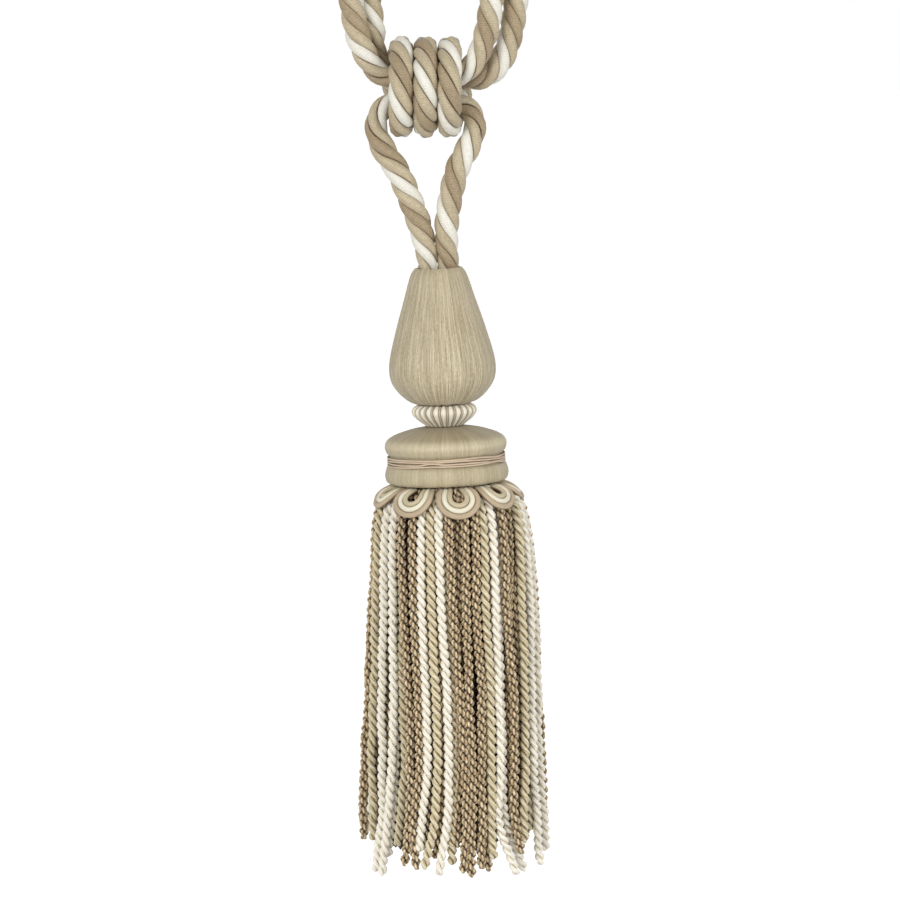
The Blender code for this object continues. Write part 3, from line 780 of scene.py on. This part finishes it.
BEAD_RIB_POINTS = (10, 6)  # across a cream rib and a taupe one
BEAD_NARROW, BEAD_FULL = 8.0, 15.0  # radii
BEAD_CREAM_SHARE = 0.48  # of a pair, where the bead is narrow
BEAD_CREAM_MORE = 0.20  # where it is full
BEAD_TAUPE_LOWER = 0.8
BEAD_RIB_HEIGHT = 0.75
BEAD_RIB_INSIDE = 0.9  # how much of a rib's arch lies within the bead's outline
BEAD_RIB_NARROW = 0.35  # of its height, where the bead is narrow
BEAD_TURNED = 0.24  # of a pair, towards the right
CAP_DOME = ((9.0, 0.0), (18.4, 1.7), (26.9, 5.0), (28.9, 7.4), (29.1, 9.4), (28.4, 11.8))
CAP_FOOT = ((28.5, 18.4), (29.5, 22.1), (28.9, 25.3), (27.6, CAP_LENGTH))
WAIST_RADIUS = 27.1
CAP_WAIST = (
    (WAIST_RADIUS + 0.3, 12.6), (WAIST_RADIUS, 13.6),
    (WAIST_RADIUS, 16.8), (WAIST_RADIUS + 0.4, 17.8),
)
CAP_CAVITY = ((26.3, CAP_LENGTH), (26.3, CAP_LENGTH - 8.0), (NEAR_AXIS, CAP_LENGTH - 8.0))
# Painted shade on the cap's floss, by the drop: heavy over the dome towards the neck, none along
# the shoulder, which leaves a painted light line there, and some on the side and foot.
CAP_SHADE = table(
    "drop shade",
    (0.0, 0.56), (4.4, 0.44), (6.4, 0.06), (8.2, 0.0), (10.4, 0.24), (26.4, 0.22),
)
FLOSS_THREADS = 480
FLOSS_RELIEF = 0.08
FLOSS_SHADE = 0.22  # painted shade on the lowest threads, as a share of the full shade
FLOSS_BROAD = 0.8  # the broader unevenness, against that of the single threads
FLOSS_LIMIT = 2.6  # how many times the usual unevenness is the most
OUTLINE_POINTS = 4  # between two points of an outline


def ring_point(radius, angle, drop):
    """A point of the tassel's own frame; the angle is from the front towards the right."""
    radius, angle, drop = np.broadcast_arrays(radius, angle, drop)
    return np.stack((radius * np.sin(angle), -radius * np.cos(angle), -drop), axis=-1)


def clockwise(count):
    return -round_about(count)


def outline_normals(outline):
    steps = np.gradient(outline, axis=0)
    return unit(np.stack((steps[:, 1], -steps[:, 0]), axis=1) + 1e-12)


def turned_shell(skin, outline, angles, lift, depth, slots=0, top=0.0):
    """A shell turned from an outline; lift stands out along its normal."""
    outline = np.asarray(outline)
    normal = outline_normals(outline)
    radius = np.maximum(outline[:, :1] + normal[:, :1] * lift, NEAREST_AXIS)
    drop = outline[:, 1:] + normal[:, 1:] * lift + top
    rows = hung(ring_point(radius * MM, angles, drop * MM))
    around = np.linspace(0.0, 1.0, rows.shape[1] + 1)
    return skin.grid(rows, run_along(outline) * MM, around, 0.0, slots, depth)


def close_net(skin, net):
    skin.lid(net[0, :-1][::-1], 0.0, 0.0, 0)
    skin.lid(net[-1, :-1], 0.0, 0.0, 0)


def floss_relief(rng):
    """Uneven threads all the way round: how far each stands out, and the painted shade it gets for lying
    low.
    """
    rough = rng.normal(size=FLOSS_THREADS)
    rough = rough + 0.5 * (np.roll(rough, 1) + np.roll(rough, -1))
    broad = rng.normal(size=FLOSS_THREADS)
    for reach in (1, 2, 4):
        broad = (np.roll(broad, reach) + broad + np.roll(broad, -reach)) / 3.0
    lift = rough / rough.std() + FLOSS_BROAD * broad / broad.std()
    lift = np.clip(lift / FLOSS_LIMIT, -1.0, 1.0)
    return FLOSS_RELIEF * lift, FLOSS_SHADE * (0.5 - 0.5 * lift)


def make_head():
    rng = np.random.default_rng(11)
    side = smooth_line(HEAD_SIDE, OUTLINE_POINTS)
    outline = np.concatenate((HEAD_SEAT, side, ((NEAR_AXIS, HEAD_LENGTH),)))
    lift, depth = floss_relief(rng)
    angles = clockwise(FLOSS_THREADS)
    for waves in HEAD_WAVES:
        lift = lift + HEAD_WAVE * np.cos(angles * waves + rng.uniform(0.0, TURN))
    skin = Skin()
    close_net(skin, turned_shell(skin, outline, angles, lift, depth))
    skin.piece("head_threads", "floss_satin", ("head_floss",), "head_bulb")


def make_bead():
    """Cream ribs with narrower taupe ones between them, drawn in towards the cap."""
    side = smooth_line(BEAD_SIDE, OUTLINE_POINTS)
    outline = np.concatenate((BEAD_TOP_FACE, side, BEAD_FOOT))
    fullness = ramp(outline[:, :1], BEAD_NARROW, BEAD_FULL - BEAD_NARROW)
    share = BEAD_CREAM_SHARE + BEAD_CREAM_MORE * fullness
    cream, taupe = (np.arange(points) / points for points in BEAD_RIB_POINTS)
    within = np.concatenate((cream * share, share + taupe * (1.0 - share)), axis=1)
    pair = np.repeat(np.arange(BEAD_PAIRS), sum(BEAD_RIB_POINTS))
    angles = -(np.tile(within, (1, BEAD_PAIRS)) + pair - BEAD_TURNED) * TURN / BEAD_PAIRS
    arch = np.concatenate((np.sin(math.pi * cream), BEAD_TAUPE_LOWER * np.sin(math.pi * taupe)))
    arch = np.tile(arch, BEAD_PAIRS)
    height = BEAD_RIB_HEIGHT * (BEAD_RIB_NARROW + (1.0 - BEAD_RIB_NARROW) * fullness)
    lift = (arch - BEAD_RIB_INSIDE) * height
    slots = np.tile(np.repeat((0, 1), BEAD_RIB_POINTS), BEAD_PAIRS)
    skin = Skin()
    # Depth is greatest at the ribs' edges: painted shade in the grooves between them.
    close_net(skin, turned_shell(skin, outline, angles, lift, 1.0 - np.sqrt(arch), slots, BEAD_TOP))
    skin.piece("bead_ribs", "striped_floss", ("bead_cream", "bead_taupe"), "striped_bead")


def make_cap():
    rng = np.random.default_rng(12)
    dome, foot = (smooth_line(side, OUTLINE_POINTS) for side in (CAP_DOME, CAP_FOOT))
    outline = np.concatenate((((NEAR_AXIS, 0.0),), dome, CAP_WAIST, foot, CAP_CAVITY))
    lift, depth = floss_relief(rng)
    # Painted shade on the dome and sides, and a painted light line along the shoulder.
    depth = depth + at_drops(CAP_SHADE, "shade", outline[:, 1:])
    skin = Skin()
    angles = clockwise(FLOSS_THREADS)
    close_net(skin, turned_shell(skin, outline, angles, lift, depth, top=CAP_TOP))
    skin.piece("cap_threads", "floss_satin", ("cap_floss",), "skirt_cap")


# -------------------- binding

BINDING_MIDDLE = CAP_TOP + 15.2
BINDING_CORDS = 4
BINDING_THICK = 0.54
BINDING_STEP = 1.12
BINDING_CLEARANCE = 0.15  # outside the waist
BINDING_TILT = math.radians(0.2)
BINDING_SAG = 0.5  # at the two sides
BINDING_WAVES = (2, 3, 5)  # all the way round
BINDING_WAVE = 0.1
BINDING_POINTS = 320
BINDING_SIDES = 8
# Where a cord of the binding leaves its place: at which angle from the front and over how many
# degrees, and how many millimetres up and out.
BINDING_WANDER = table(
    "cord angle width up out",
    (1, -50.0, 22.0, 0.28, 0.0),
    (2, -50.0, 20.0, -0.35, 0.0),
    (2, -14.0, 9.0, 0.95, 0.55),
    (3, -14.0, 16.0, 0.35, 0.0),
    (3, 55.0, 14.0, 1.0, 0.6),
    (0, 58.0, 16.0, -0.45, 0.0),
    (1, 150.0, 20.0, -0.8, 0.5),
    (2, 215.0, 25.0, 0.5, 0.3),
)


def add_ring(skin, line, out, tone):
    """A closed ring of the binding's cord."""
    along = unit(np.roll(line, -1, axis=0) - np.roll(line, 1, axis=0))
    rows = rings(line, along, square_to(out, along), BINDING_THICK * MM, BINDING_SIDES)
    rows = np.concatenate((rows, rows[:1]))
    run = run_along(np.concatenate((line, line[:1])))
    # Painted shade, most on each cord's inner side and some at its sides between the cords.
    depth = 0.5 - 0.5 * np.cos(round_about(BINDING_SIDES))
    skin.grid(rows, run, np.linspace(0.0, 1.0, BINDING_SIDES + 1), tone, 0, depth)


def make_binding():
    rng = np.random.default_rng(13)
    skin = Skin()
    angles = clockwise(BINDING_POINTS)
    rest_radius = WAIST_RADIUS + BINDING_THICK
    middle = hung(ring_point(0.0, angles, BINDING_MIDDLE * MM))
    for cord in range(BINDING_CORDS):
        up = np.full(BINDING_POINTS, ((BINDING_CORDS - 1) / 2 - cord) * BINDING_STEP)
        radius = np.full(BINDING_POINTS, rest_radius + BINDING_CLEARANCE)
        for row in BINDING_WANDER:
            if row["cord"] == cord:
                away = np.angle(np.exp(1j * (angles - math.radians(row["angle"]))))
                bump = np.exp(-((away / math.radians(row["width"])) ** 2))
                up = up + row["up"] * bump
                radius = radius + row["out"] * bump
        for waves in BINDING_WAVES:
            up = up + BINDING_WAVE * np.sin(angles * waves + rng.uniform(0.0, TURN))
        up = up + rest_radius * np.sin(angles) * math.tan(BINDING_TILT)
        up = up - BINDING_SAG * np.sin(angles) ** 2
        line = hung(ring_point(radius * MM, angles, (BINDING_MIDDLE - up) * MM))
        add_ring(skin, line, line - middle, cord / BINDING_CORDS)
    skin.piece("binding_cords", "binding_cord", ("binding_rose",), "waist_binding")


# -------------------- gimp loops

GIMP_LOOPS = 9
GIMP_FIRST_ANGLE = 9.0
GIMP_BEND_RADIUS = 6.75
GIMP_LEG = 8.7
GIMP_LEG_SHORTER = 4.6  # at the two sides
GIMP_LEGS_APART = 6.1
GIMP_SIDES = 10
GIMP_STEP = 0.9 * MM
GIMP_LEG_POINTS = 12
GIMP_FLARE_POINTS = 6  # between two of its rows
SKIRT_RADIUS_AT_LOOPS = 32.8
GIMP_FINISHES = ("gimp_taupe", "gimp_cream", "gimp_sand")
# How the loops flare out below the cap: in front, and at the two sides.
GIMP_FLARE = table(
    "radius drop side_radius side_drop",
    (24.4, 1.75, 24.4, 1.75),
    (27.8, 2.5, 27.8, 2.5),
    (31.4, 4.1, 31.2, 4.1),
    (34.0, 7.0, 33.9, 6.6),
    (35.5, 10.8, 35.7, 9.8),
    (36.2, 16.0, 36.8, 13.8),
)
GIMP_CORDS = table(
    "across thick finish",
    (-2.65, 1.36, 0),
    (0.0, 1.31, 1),
    (2.6, 1.29, 2),
)


def loop_line(inward, straight):
    """One cord of a flat loop, as (x, length down the loop); inward is from the band's middle."""
    bend = GIMP_BEND_RADIUS - inward
    leg = np.linspace(0.0, straight, GIMP_LEG_POINTS, endpoint=False)
    apart = GIMP_LEGS_APART + (GIMP_BEND_RADIUS - GIMP_LEGS_APART) * eased(leg / straight) - inward
    turn = np.linspace(math.pi, 0.0, GIMP_LEG_POINTS * 2 + 1)
    x = np.concatenate((-apart, bend * np.cos(turn), apart[::-1]))
    down = np.concatenate((leg, straight + bend * np.sin(turn), leg[::-1]))
    return x, down


def make_gimp_loop(number):
    facing = math.radians(GIMP_FIRST_ANGLE + (number - 1) * 360.0 / GIMP_LOOPS)
    front = np.array([(row["radius"], row["drop"]) for row in GIMP_FLARE])
    side = np.array([(row["side_radius"], row["side_drop"]) for row in GIMP_FLARE])
    sideways = abs(math.sin(facing))
    straight = GIMP_LEG - GIMP_LEG_SHORTER * sideways ** 2
    flare = smooth_line(front + (side - front) * sideways, GIMP_FLARE_POINTS)
    flare_run = run_along(flare)
    flare_and_normal = np.concatenate((flare, outline_normals(flare)), axis=1)
    skin = Skin()
    for cord in GIMP_CORDS:
        x, down = loop_line(cord["across"], straight)
        radius, drop, lift, sink = (np.interp(down, flare_run, rows) for rows in flare_and_normal.T)
        angle = facing + x / SKIRT_RADIUS_AT_LOOPS
        line = hung(ring_point(radius * MM, angle, (CAP_BOTTOM + drop) * MM))
        raised = hung(ring_point((radius + lift) * MM, angle, (CAP_BOTTOM + drop + sink) * MM))
        out = even_line(line, GIMP_STEP, raised - line)
        line = even_line(line, GIMP_STEP)
        thick = cord["thick"] * MM
        # Depth counts from the cord's outer side: painted shade at its sides, between the cords.
        core = line - unit(out) * thick
        share = number / GIMP_LOOPS
        skin.tube(line, out, thick, GIMP_SIDES, cord["finish"], share, 1.0, core, 2.0 * thick)
    skin.piece(f"gimp_cords_{number}", "gimp_cord", GIMP_FINISHES, f"gimp_loop_{number}")


# -------------------- fringe

PLUMB_DROP = 50.0  # below it the strands hang straighter down than the tassel leans
PLUMB_SHARE = 0.82
PLY_OFFSET = 1.18
PLY_THICK = 1.2
PLY_WIDE = 0.9
PLY_TONE = 0.21  # between the two plies
PLY_MEAN, PLY_SWING = 0.55, 0.45  # how far a ply's yarns stand out, more on its outer side
PLY_PITCH = 8.6
PITCH_SPREAD = (0.95, 1.06)
YARN_PITCH = 3.6
END_ROUND = 2.4  # the length over which a strand's end closes
END_SIZE = 0.3  # of its thickness, at the very end
# A strand's way down, from the heading: the drop below the cap's edge and the radius there.
STRAND_FALL = table(
    "drop radius",
    (-4.0, 18.6), (0.6, 20.4), (4.0, 25.0), (6.8, 28.8), (10.0, 31.2), (15.0, 32.7),
    (22.0, 34.2), (37.0, 36.3), (52.0, 37.8), (95.0, 40.3), (134.0, 42.2), (186.0, 44.4),
)
INNER_FALL = table(
    "drop radius",
    (-4.0, 13.5), (4.0, 17.5), (14.0, 26.2), (30.0, 30.0), (95.0, 34.0), (186.0, 38.0),
)
CORE_FALL = table(
    "drop radius",
    (-4.0, 12.5), (6.0, 14.5), (24.0, 23.5), (95.0, 28.0), (186.0, 32.0),
)
BEHIND = 4.0  # how far in a strand hangs that others partly hide
BEHIND_FROM, BEHIND_OVER = 4.0, 11.0  # the drops over which it goes in
STEEPEST = 0.998  # sine of the furthest direction to the side
# The drops at which a front strand's place is known, before that of its own end.
KNOWN_DROPS = (15.0, 52.0, 95.0, 134.0, 157.0)
# The front strands from the left. Places are how many millimetres to the right of the tassel's
# middle each hangs at the known drops and at its end; end is the drop of its end.
FRONT_STRANDS = table(
    "kind places end behind",
    ("taupe", (-34.0, -38.8, -41.6, -43.1, -43.3, -43.4), 171.0, False),
    ("sand", (-31.9, -36.2, -37.5, -38.5, -38.4, -38.4), 168.6, False),
    ("cream", (-29.3, -32.3, -33.4, -33.7, -34.0, -36.9), 183.0, False),
    ("taupe", (-27.2, -30.4, -31.2, -31.2, -31.6, -32.0), 168.0, True),
    ("cream", (-25.9, -27.9, -28.0, -29.0, -31.3, -34.4), 184.6, False),
    ("cream", (-24.8, -27.0, -27.2, -27.2, -28.8, -31.5), 176.2, True),
    ("sand", (-21.9, -23.4, -23.5, -23.1, -25.1, -26.7), 170.0, True),
    ("taupe", (-22.2, -22.7, -20.9, -20.0, -20.9, -23.8), 178.3, False),
    ("taupe", (-16.7, -18.0, -16.4, -15.8, -19.0, -17.7), 179.5, False),
    ("cream", (-12.7, -14.2, -12.6, -12.2, -14.8, -16.0), 171.0, False),
    ("taupe", (-10.6, -11.6, -10.5, -9.9, -12.4, -13.4), 170.0, True),
    ("sand", (-8.7, -9.5, -7.9, -7.3, -8.9, -13.9), 179.3, False),
    ("taupe", (-5.9, -6.4, -5.1, -4.4, -6.3, -8.3), 175.0, True),
    ("cream", (-4.7, -5.0, -2.7, -1.8, -3.2, -7.1), 182.0, False),
    ("sand", (-2.1, -1.7, 0.1, 1.0, -0.6, -0.7), 178.0, True),
    ("taupe", (0.0, 0.4, 3.4, 5.9, 6.0, 4.5), 181.4, False),
    ("taupe", (3.8, 3.7, 1.7, 2.6, 1.7, 1.7), 170.0, True),
    ("taupe", (7.5, 6.8, 7.9, 9.2, 8.8, 8.5), 183.8, False),
    ("taupe", (12.3, 11.5, 13.5, 13.7, 13.5, 13.0), 180.2, False),
    ("taupe", (17.6, 17.5, 15.8, 16.1, 15.9, 16.6), 182.6, True),
    ("sand", (16.0, 15.8, 18.0, 18.2, 18.2, 19.1), 176.2, False),
    ("cream", (20.0, 20.5, 21.8, 22.4, 21.5, 29.7), 185.4, False),
    ("cream", (22.6, 22.2, 22.9, 23.4, 24.6, 33.4), 186.0, True),
    ("taupe", (26.8, 27.0, 26.6, 27.2, 27.6, 27.4), 169.0, True),
    ("taupe", (24.8, 25.5, 28.7, 29.1, 29.2, 32.2), 176.3, False),
    ("taupe", (29.4, 28.9, 31.6, 32.1, 31.9, 31.6), 168.5, True),
    ("sand", (31.0, 33.0, 34.3, 34.4, 33.5, 33.9), 171.4, False),
    ("sand", (32.0, 35.2, 36.3, 36.4, 36.0, 36.0), 168.0, True),
    ("cream", (32.0, 36.2, 37.8, 38.1, 40.0, 41.2), 184.7, False),
    ("cream", (34.0, 38.9, 40.8, 41.3, 42.6, 44.0), 180.5, False),
)
HEADING_RIBS = 60  # stitches round it
HEADING_RIB = 0.12
HEADING_OUTLINE = (
    (11.6, -7.4), (16.0, -7.6), (20.6, -7.4), (20.8, -5.0), (20.4, -2.2),
    (16.0, -2.0), (11.6, -2.2), (11.4, -5.0), (11.6, -7.4),
)
# How the strands are made: see add_strand.
SMOOTH_MAKE = {"twist": 0.06, "sides": 9, "step": 0.8}
BACK_KINDS = ("taupe", "sand", "cream", "taupe", "taupe", "cream", "sand", "taupe")
# Strands set evenly round: from one direction to another, how many, between which drops they end,
# and how far each may stray from its direction.
BACK_STRANDS = {"first": 93.0, "last": 263.0, "count": 23, "ends": (172.0, 184.0), "drift": 1.4}
SIDE_FILL = table(
    "first last count ends drift",
    (73.0, 98.0, 4, (166.0, 172.0), 0.8),
    (262.0, 287.0, 4, (166.0, 172.0), 0.8),
)
INNER_ENDS = (166.0, 174.0)
INNER_DRIFT = 1.0
SIDE_ENDS_HIGHER = 9.0
SIDE_FROM, SIDE_OVER = 0.8, 0.2  # of the skirt's half width
# How much fuller than round the fringe hangs at its two sides, by the drop.
FULLER = table(
    "drop right left",
    (3.0, 0.6, 0.2), (8.0, 2.6, 0.8), (15.0, 2.9, 1.3), (24.0, 2.7, 1.0), (34.0, 2.4, 0.2),
    (47.0, 1.5, 0.0), (75.0, 1.1, 0.0), (95.0, 0.4, 0.0), (134.0, 0.5, 0.3),
)
FULLER_POWER = 14  # the higher, the closer to the two sides the fullness stays
MM_A_DEGREE = 0.7  # round the skirt
FREE_FROM, FREE_OVER = 25.0, 60.0  # the drops over which a strand starts to sway
# How a strand sways on its way down: the length of a wave, and its size.
SWAY = table("length size", (70.0, 0.3), (31.0, 0.25), (17.0, 0.14))
SWAY_DEGREES = 0.7  # sideways for each millimetre in and out
STRAND_POINTS = 8  # between two points of a strand's way down


def fuller_side(drop, turn):
    """How far further out the strands of the two sides hang, in mm."""
    sine = np.sin(turn)
    right = at_drops(FULLER, "right", drop) * np.maximum(sine, 0.0) ** FULLER_POWER
    left = at_drops(FULLER, "left", drop) * np.maximum(-sine, 0.0) ** FULLER_POWER
    return right + left


def fall_radius(fall, drops, behind):
    radius = at_drops(fall, "radius", drops)
    return radius - BEHIND * behind * ramp(np.asarray(drops), BEHIND_FROM, BEHIND_OVER)


def front_strands():
    """The front strands, each with its directions in degrees from the front."""
    rows = []
    for row in FRONT_STRANDS:
        radius = fall_radius(STRAND_FALL, (*KNOWN_DROPS, row["end"]), row["behind"])
        sine = np.clip(np.array(row["places"]) / radius, -STEEPEST, STEEPEST)
        rows.append({**row, "angles": np.degrees(np.arcsin(sine))})
    return rows


def even_strands(rng, first, last, count, ends, drift, behind=False):
    """Strands side by side from one direction to another, each wandering a little."""
    rows = []
    for number, angle in enumerate(np.linspace(first, last, count)):
        angles = angle + rng.uniform(-drift, drift, len(KNOWN_DROPS) + 1)
        sideways = max(0.0, abs(math.sin(math.radians(angle))) - SIDE_FROM) / SIDE_OVER
        end = rng.uniform(*ends) - SIDE_ENDS_HIGHER * sideways
        kind = BACK_KINDS[number % len(BACK_KINDS)]
        rows.append({"kind": kind, "angles": angles, "end": end, "behind": behind})
    return rows


def strand_line(row, fall, rng, step):
    """A strand's middle as it hangs, and the sideways direction along it."""
    last_known, end = KNOWN_DROPS[-1], row["end"]
    drops = [entry["drop"] for entry in fall if entry["drop"] < last_known] + [last_known, end]
    angle = np.interp(drops, (*KNOWN_DROPS, end), row["angles"])
    radius = fall_radius(fall, drops, row["behind"])
    way = smooth_line(np.stack((angle * MM_A_DEGREE, radius, drops), axis=1), STRAND_POINTS)
    across, radius, drop = even_line(way, step).T
    angle = across / MM_A_DEGREE
    free = ramp(drop, FREE_FROM, FREE_OVER)
    for wave in SWAY:
        size = free * wave["size"]
        along = TURN * drop / wave["length"]
        radius = radius + size * np.sin(along + rng.uniform(0.0, TURN))
        angle = angle + size * SWAY_DEGREES * np.sin(along + rng.uniform(0.0, TURN))
    turn = np.radians(angle)
    line = ring_point(radius + fuller_side(drop, turn), turn, CAP_BOTTOM + drop)
    line[:, 0] -= math.tan(PLUMB_SHARE * LEAN) * np.maximum(0.0, drop - PLUMB_DROP)
    side = np.stack((np.cos(turn), np.sin(turn), np.zeros(len(turn))), axis=1)
    return hung(line * MM), hung(side) - HEAD_TOP


def add_strand(skin, row, fall, rng, twist, sides, step):
    """One bullion strand; twist is how far the two yarns of each ply stand out from it."""
    line, side = strand_line(row, fall, rng, step)
    run = run_along(line)
    angle = rng.uniform(0.0, TURN) - run * TURN / (PLY_PITCH * rng.uniform(*PITCH_SPREAD) * MM)
    left = ramp(run[-1] - run, 0.0, END_ROUND * MM)
    closing = MM * (END_SIZE + (1.0 - END_SIZE) * np.sqrt(1.0 - (1.0 - left) ** 2))
    # Depth counts from the strand's outside: painted shade between its plies and their yarns.
    reach = (PLY_OFFSET + PLY_THICK * (1.0 + 0.5 * twist)) * closing
    tone = rng.uniform(0.0, 1.0)
    around = round_about(sides)
    outward = PLY_MEAN + PLY_SWING * np.cos(around)
    for ply in range(2):
        path, out = wind(line, side, PLY_OFFSET * closing, angle + ply * TURN / 2)
        yarns = run_along(path)[:, None] * TURN / (YARN_PITCH * MM)
        swell = 1.0 - outward * twist * (0.5 - np.sin(2.0 * (yarns - around)))
        radius = PLY_THICK * closing[:, None] * swell
        skin.tube(path, out, radius, sides, 0, tone + PLY_TONE * ply, PLY_WIDE, line, reach)


def strand_piece(name, finish, rows, fall, rng, **make):
    skin = Skin()
    for row in rows:
        add_strand(skin, row, fall, rng, **make)
    skin.piece(name, "bullion_yarn", (finish,), "bullion_fringe")


def make_fringe():
    rng = np.random.default_rng(21)
    front = front_strands()
    back = even_strands(rng, **BACK_STRANDS)
    for fill in SIDE_FILL:
        front = front + even_strands(rng, **fill, behind=True)
    for kind in ("cream", "sand"):
        rows = [row for row in front + back if row["kind"] == kind]
        name = f"fringe_{kind}"
        strand_piece(f"{name}_strands", name, rows, STRAND_FALL, rng, **SMOOTH_MAKE)
    for name, rows, behind, step in (
        ("fringe_taupe_strands_front", front, False, 0.48),
        ("fringe_taupe_strands_between", front, True, 0.7),
        ("fringe_taupe_strands_back", back, False, 0.6),
    ):
        rows = [row for row in rows if row["kind"] == "taupe" and row["behind"] == behind]
        strand_piece(name, "fringe_taupe", rows, STRAND_FALL, rng, twist=0.27, sides=8, step=step)
    # These strands' finish is drawn darker all through: painted shade inside the skirt.
    for name, fall, count, sides, step in (
        ("fringe_inner_strands", INNER_FALL, 46, 6, 1.9),
        ("fringe_core_strands", CORE_FALL, 34, 5, 2.2),
    ):
        rows = even_strands(rng, 360.0 / count, 360.0, count, INNER_ENDS, INNER_DRIFT)
        strand_piece(name, "fringe_inner", rows, fall, rng, twist=0.0, sides=sides, step=step)


def make_heading():
    """The ring that the strands are sewn to, inside the cap."""
    skin = Skin()
    angles = clockwise(HEADING_RIBS * 2)
    lift = HEADING_RIB * np.cos(angles * HEADING_RIBS)
    # Half painted shade all over, as it sits inside the cap.
    turned_shell(skin, HEADING_OUTLINE, angles, lift, 0.5, top=CAP_BOTTOM)
    skin.piece("fringe_heading", "bullion_yarn", ("fringe_sand",), "bullion_fringe")


# -------------------- floor and the whole


def make_floor():
    mesh = bpy.data.meshes.new("floor")
    half = FLOOR_SIZE / 2
    corners = [(-half, -half), (half, -half), (half, half), (-half, half)]
    mesh.from_pydata([(x, y, FLOOR_HEIGHT) for x, y in corners], [], [(0, 1, 2, 3)])
    floor = bpy.data.objects.new("floor", mesh)
    material = bpy.data.materials.new("floor_paper")
    material.use_nodes = True
    tree = material.node_tree
    seen = node(tree, "ShaderNodeLightPath").outputs["Is Camera Ray"]
    glow = {"Emission Color": WHITE, "Emission Strength": calc(tree, "MULTIPLY", seen, FLOOR_GLOW)}
    paper = {"Base Color": (*(FLOOR_GREY,) * 3, 1.0), "Roughness": FLOOR_ROUGHNESS}
    feed(tree, tree.nodes["Principled BSDF"], {**paper, **glow})
    mesh.materials.append(material)
    bpy.context.scene.collection.objects.link(floor)


def main():
    make_camera()
    make_light()
    make_floor()
    make_materials()
    rope, path = make_embrace_rope()
    wrap = make_rope_wrap()
    make_head()
    make_bead()
    make_cap()
    make_binding()
    for number in range(1, GIMP_LOOPS + 1):
        make_gimp_loop(number)
    make_fringe()
    make_heading()


main()
